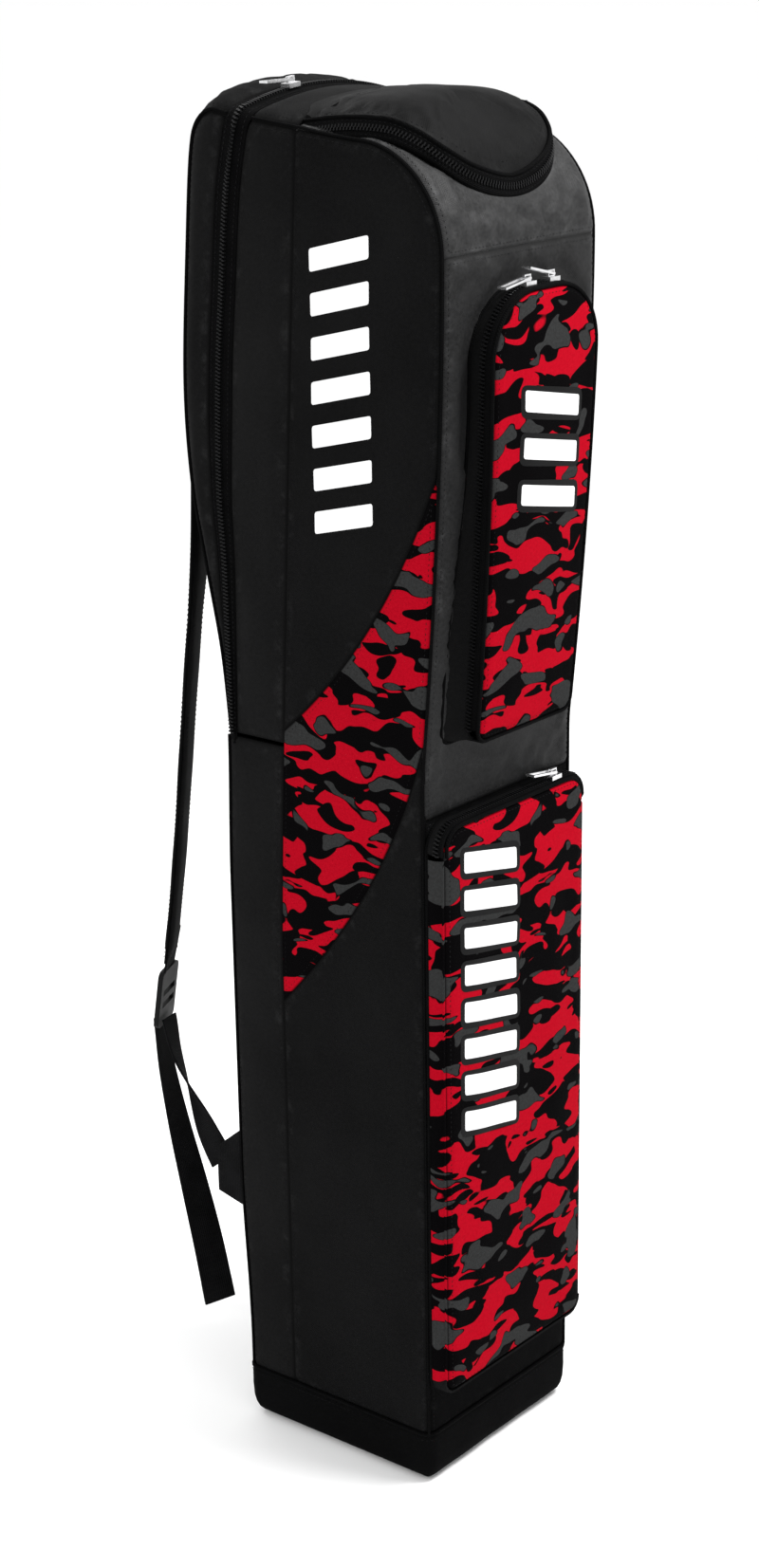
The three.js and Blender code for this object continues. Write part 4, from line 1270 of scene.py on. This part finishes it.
def pocket_wall(name, p, rows, material, body, part=slice(None), flare=lambda depth: 0.0, **settings):
    """A strip of a pocket's side. rows are (depth, how far it bulges), from the wall outwards."""
    loop, inner_loop = pocket_loop(p), pocket_loop(p, 1.8)
    outer = [pocket_row(loop, d, flare(d)) + bulge * loop_outward(loop) for d, bulge in rows]
    inner = [pocket_row(inner_loop, d, flare(d)) for d, _ in rows]
    return grid_piece(name, outer, inner, material, body, part, **settings)


def pocket_zip(stem, p, part):
    loop = pocket_loop(p)
    out = loop_outward(loop)[part]
    zip_teeth(stem + "_teeth", pocket_row(loop, p["split"])[part] + 0.3 * out, out, stem)


def pocket_front(name, p, swell, seed):
    """A pocket's camouflage front, crowned, with its edges rolled back."""
    true = pocket_loop(p)
    away = lambda uv: rounding(edge_distance(uv, true), p["roll"])
    base = soft(swell, 42, 0.8, seed, 85, away)
    height = lambda uv, edge: p["proud"] + base(uv, edge)
    sewn(name + "_front", pocket_loop(p, CORNER * p["roll"]), front_surface, height, CAMO, name, step=5.0,
         back=3.0 - p["proud"], thin=1.4, stitched=3.4)


def make_upper_pocket():
    p = UPPER
    loop = pocket_loop(p)
    rows = [(d, 0.0) for d in (0.3, 0.9, 2.4, 4.6, 7.0, 9.2, 10.9)]
    flare = lambda depth: (1 - depth / 11) ** 1.6
    pocket_wall("upper_pocket_gusset", p, rows, BLACK, "bag", flare=flare, closed=True)
    keep = np.nonzero(loop[:, 1] > p["bottom"] + p["foot"])[0]
    rows = [(12.3, 0.0), (13.2, 0.5), (15.0, 0.9), (17.0, 0.7), (18.4, 0.1)]
    pocket_wall("upper_pocket_rim", p, rows, TAPE, "upper_pocket", keep)
    pocket_zip("upper_pocket", p, keep)
    tube("upper_pocket_piping", pocket_row(pocket_loop(p, 0.8), 18.9), 1.5, "upper_pocket", closed=True)
    tube("upper_pocket_seam", pocket_row(loop, 0.9, 1.0), 1.2, "bag", closed=True)
    pocket_front("upper_pocket", p, 2.6, 91)
    x, depth = np.meshgrid(np.linspace(-47, 47, 30), np.linspace(0.6, 19.2, 8))
    z = p["bottom"] - 0.4
    outer = columns(x, front_y(z) - depth, z)
    fold = grid_piece("upper_pocket_fold", outer, outer + [0, 0, 1.4], BLACK, None)
    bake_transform(fold)


def make_lower_pocket():
    p = LOWER
    loop = pocket_loop(p)
    x, z = loop.T
    top = np.nonzero(z > p["top"] - p["corner"] - 4)[0]
    foot = np.concatenate([np.nonzero((z < p["bottom"] + 12) & half)[0] for half in (x < 0, x >= 0)])
    rows = [(0.3, 0), (0.9, 0.4), (3.0, 0.8), (5.4, 0.7), (7.9, 0.3)]
    pocket_wall("lower_pocket_gusset", p, rows, BLACK, "bag", top)
    rows = [(9.6, 0.2), (10.4, 0.6), (11.8, 0.7), (13.2, 0.1)]
    pocket_wall("lower_pocket_rim", p, rows, TAPE, "lower_pocket", top)
    rows = [(0.3, 0), (2.0, 0.3), (6.0, 0.5), (10.0, 0.4), (13.2, 0.0)]
    pocket_wall("lower_pocket_foot", p, rows, BLACK, "bag", foot)

    def wrapped(grid):
        """Cloth coordinates that carry on from the front panel's."""
        depth = front_y(grid[..., 2]) - grid[..., 1]
        u = np.sign(grid[..., 0]) * (p["half"] + 10.2 - depth)
        return columns(u, grid[..., 2]).reshape(-1, 2)

    rows = [(0.3, -0.6), (1.0, 0.3), (3.5, 0.7), (6.0, 0.6), (8.5, 0.1), (10.8, -1.0), (12.4, -2.2),
            (13.2, -3.1)]
    for sign, side in SIDES:
        part = np.nonzero((z > p["bottom"] + 10) & (z < p["top"] - p["corner"] - 2) & (sign * x > 0))[0]
        strip = pocket_wall("lower_pocket_side_" + side, p, rows, CAMO, None, part, cloth=wrapped)
        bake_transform(strip)
    pocket_zip("lower_pocket", p, top)
    ends = np.minimum(np.arange(len(top)), np.arange(len(top))[::-1])
    sink = (3.2 * (1 - smooth(ends / 8)))[:, None] * loop_outward(loop)[top]
    tube("lower_pocket_piping", pocket_row(pocket_loop(p, 2.4), 13.4)[top] - sink, 1.7, "lower_pocket")
    tube("lower_pocket_seam", pocket_row(loop, 0.9), 1.3, "bag", closed=True)
    pocket_front("lower_pocket", p, 2.4, 92)


# ---- printed stripes ---------------------------------------------------------------------
def bar(u, v, wide, tall, slant, radius):
    """A slanted bar with rounded ends, centred at (u, v)."""
    corners = np.array([(-wide / 2, -tall / 2 - slant / 2), (wide / 2, -tall / 2 + slant / 2),
                        (wide / 2, tall / 2 + slant / 2), (-wide / 2, tall / 2 - slant / 2)])
    points = []
    for before, here, after in zip(np.roll(corners, 1, axis=0), corners, np.roll(corners, -1, axis=0)):
        ends = [here + unit(other - here) * radius for other in (before, after)]
        points.append(arc_points((ends[0], here, ends[1]), 5))
    return np.vstack(points) + [u, v]


def stripes(name, panel_name, material, body, lift, spec, grow=0.0):
    """Equal slanted bars printed on a panel, stacked between two heights.

    spec is (u, low, high, count, width, height, slant); grow makes each bar larger all round."""
    u, low, high, count, wide, tall, slant = spec
    loop, surface, height = SEWN[panel_name]
    border = resample(loop, 5.0)
    points, faces, flats = [], [], []
    first = 0
    for v in np.linspace(low + tall / 2, high - tall / 2, count):
        shape = bar(u, v, wide + 2 * grow, tall + 2 * grow, slant, 2.2 + grow)
        uv, tris, _ = patch(shape, 4.0, rows=())
        out = height(uv, edge_distance(uv, border)) + lift
        sheet, sheet_faces = closed_sheet(surface(uv, out), surface(uv, out - 0.35), tris)
        points.append(sheet)
        flats.append(np.vstack([uv, uv]))
        faces.extend(tuple(k + first for k in face) for face in sheet_faces)
        first += len(sheet)
    piece(name, np.vstack(points), faces, material, body, np.vstack(flats), crease=30)


def make_prints():
    for sign, side in SIDES:
        spec = (-26, 700, 888, 7, 50, 15, 12 * sign)
        stripes("side_stripes_" + side, "side_upper_" + side, WHITE, "bag", 0.22, spec)
    specs = {"lower": (-34, 272, 478, 8, 58, 15, -12), "upper": (4, 712, 788, 3, 62, 14, -12)}
    for stem, spec in specs.items():
        pocket = stem + "_pocket"
        stripes(stem + "_stripes_edge", pocket + "_front", OUTLINE, pocket, 0.16, spec, 4.0)
        stripes(stem + "_stripes", pocket + "_front", WHITE, pocket, 0.34, spec)


# ---- shoulder straps -----------------------------------------------------------------------
PAD_ROUTE = [(-46, 125.4, 815), (-48, 127.5, 770), (-53, 127.5, 720), (-60, 130, 655), (-65, 135, 590),
             (-67, 142.5, 520), (-68, 150, 455), (-68, 159, 395), (-68, 167.5, 347)]
WEB_ROUTE = [(-68, 171.4, 297), (-69.5, 163, 268), (-73, 146, 241), (-77, 128, 218), (-79.2, 112, 199)]
TAIL_ROUTE = [(-68, 180.8, 297), (-68.5, 176, 258), (-69, 165, 212), (-69, 152, 166), (-68, 140.5, 119),
              (-66, 132, 71)]
LOCK_PLACE = (-68, 173.0, 325)
LOCK_HEADING = 23.0
WEB_WIDE = 25.0
WEB_THICK = 1.6


def mirrored(points, sign):
    return np.asarray(points, float) * [-sign, 1, 1]


def headings(angles, sign):
    """Unit directions in plan at these angles from +X, mirrored for the right side."""
    a = np.radians(angles)
    return columns(-sign * np.cos(a), np.sin(a), 0.0) * -sign


def web_shape():
    """The cross section of webbing: flat, with rounded edges."""
    half = WEB_WIDE / 2
    side = columns(np.linspace(-1, 1, 9) * (half - 0.5), WEB_THICK / 2)
    right = np.array([(half - 0.15, WEB_THICK / 4), (half, 0.0), (half - 0.15, -WEB_THICK / 4)])
    return np.vstack([side, right, -side, -right])


def pad_shape(wide, thick):
    """A padded strap's section: full in the middle, thin at its bound edges."""
    a = np.arange(32) * 2 * math.pi / 32
    c, s = np.cos(a), np.sin(a)
    u = np.sign(c) * np.abs(c) ** 0.55
    v = np.sign(s) * np.abs(s) ** 0.8 * (1 - 0.42 * np.abs(u) ** 5)
    return columns(u * wide / 2, v * thick / 2)


def webbing(stem, sign, side, line, start, end, hem=0.0):
    """Flat webbing that turns from one heading to another; the last part of it is a doubled hem."""
    t = np.linspace(0, 1, len(line))
    shapes = [web_shape() * [1, 1 + 0.9 * (at > 1 - hem)] for at in t]
    across = headings(start + (end - start) * smooth(t), sign)
    return swept("strap_%s_%s" % (stem, side), line, shapes, across, WEB, "strap_" + side)


def make_strap(sign, side):
    body = "strap_" + side
    line = spline(mirrored(PAD_ROUTE, sign), 70)
    t = np.linspace(0, 1, 70)
    across = headings(29 * smooth(t / 0.45), sign)
    thick = 7 + 0.5 * np.sin(t * 40) - 4.6 * smooth((t - 0.965) / 0.035) - 3.2 * smooth((0.03 - t) / 0.03)
    wide = 40 - 12 * t
    shapes = [pad_shape(w, h) for w, h in zip(wide, thick)]
    swept("strap_pad_" + side, line, shapes, across, PAD, body)
    across = unit(across - np.sum(across * tangents(line), axis=1)[:, None] * tangents(line))
    out = np.cross(tangents(line), across)
    for k, end in ((-1, "inner"), (1, "outer")):
        rim = line + k * (wide / 2 - 0.7)[:, None] * across
        tube("strap_binding_%s_%s" % (end, side), rim, 1.5, body, sides=6, slot="strap_fabric")
        seam = line + k * (wide / 2 - 4.4)[:, None] * across
        for face in (-1, 1):
            stitch(body, seam + face * 2.75 * out, face * out)
    stem = [line[-4] + 2.0 * out[-4], line[-1] + 0.6 * out[-1], mirrored(LOCK_PLACE, sign)]
    webbing("stem", sign, side, spline(stem, 16), 27.0, 27.0)
    webbing("web", sign, side, spline(mirrored(WEB_ROUTE, sign), 46), LOCK_HEADING, 90)
    make_anchors(sign, side)


def make_tail(sign, side):
    """The strap's free end, which hangs from the ladder lock."""
    tail = webbing("tail", sign, side, spline(mirrored(TAIL_ROUTE, sign), 60), LOCK_HEADING, -26, 0.07)
    path = spline(mirrored(TAIL_ROUTE, sign), 30) * MM
    float(lengths(path)[-1])


def make_anchors(sign, side):
    outline = np.array([(87.5, 170), (114, 176), (114, 212), (87.5, 234)], float)
    height = lambda uv, edge: 0.2 - 0.5 * np.exp(-edge)
    sewn("strap_anchor_lower_" + side, outline, side_surface(sign, 82.5), height, WEB, back=2.0, step=4)
    place, s = along_profile(SHELL_CURVE, outward(SHELL_CURVE))
    s0, s1 = np.interp([768, 828], SHELL_CURVE[:120, 1], s[:120])
    outline = rectangle(*sorted((sign * 19.0, sign * 73.0)), s0, s1)
    height = lambda uv, edge: 2.9 - 0.6 * np.exp(-edge / 1.2)
    sewn("strap_anchor_upper_" + side, outline, place, height, WEB, "rear_shell", back=-0.6, step=4)


# ---- carried-over hard parts -----------------------------------------------------------------
ZIPS = ("rear_zip", "lid_zip", "upper_pocket_zip_left", "upper_pocket_zip_right", "lower_pocket_zip")


def dress(node, material, width):
    """A CAD node with softened edges and its finish."""
    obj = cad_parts[node]
    while len(obj.material_slots) == 0:
        obj.data.materials.append(None)
    for slot in obj.material_slots:
        slot.link = "OBJECT"
        slot.material = material
    bevel = obj.modifiers.new("edges", "BEVEL")
    bevel.width = width * MM
    bevel.segments = 2
    bevel.limit_method = "ANGLE"


def make_hardware():
    for name in ZIPS:
        dress(name + "_slider", METAL, 0.35)
        dress(name + "_pull", METAL, 0.5)
    for _, side in SIDES:
        dress("ladder_lock_" + side, BUCKLE, 1.1)
    dress("base_board", BOARD, 0.6)


for sign, side in SIDES:
    make_tail(sign, side)
make_base()
make_sides()
make_front()
make_yoke()
make_back()
make_piping()
make_zip_band()
make_rear_shell()
make_lid()
make_upper_pocket()
make_lower_pocket()
make_prints()
for sign, side in SIDES:
    make_strap(sign, side)
make_hardware()
make_stitches()

plain = lambda box: [[float(v) for v in corner] for corner in box]
{"cad": plain(CAD_BOX), "visual": plain(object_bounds())}
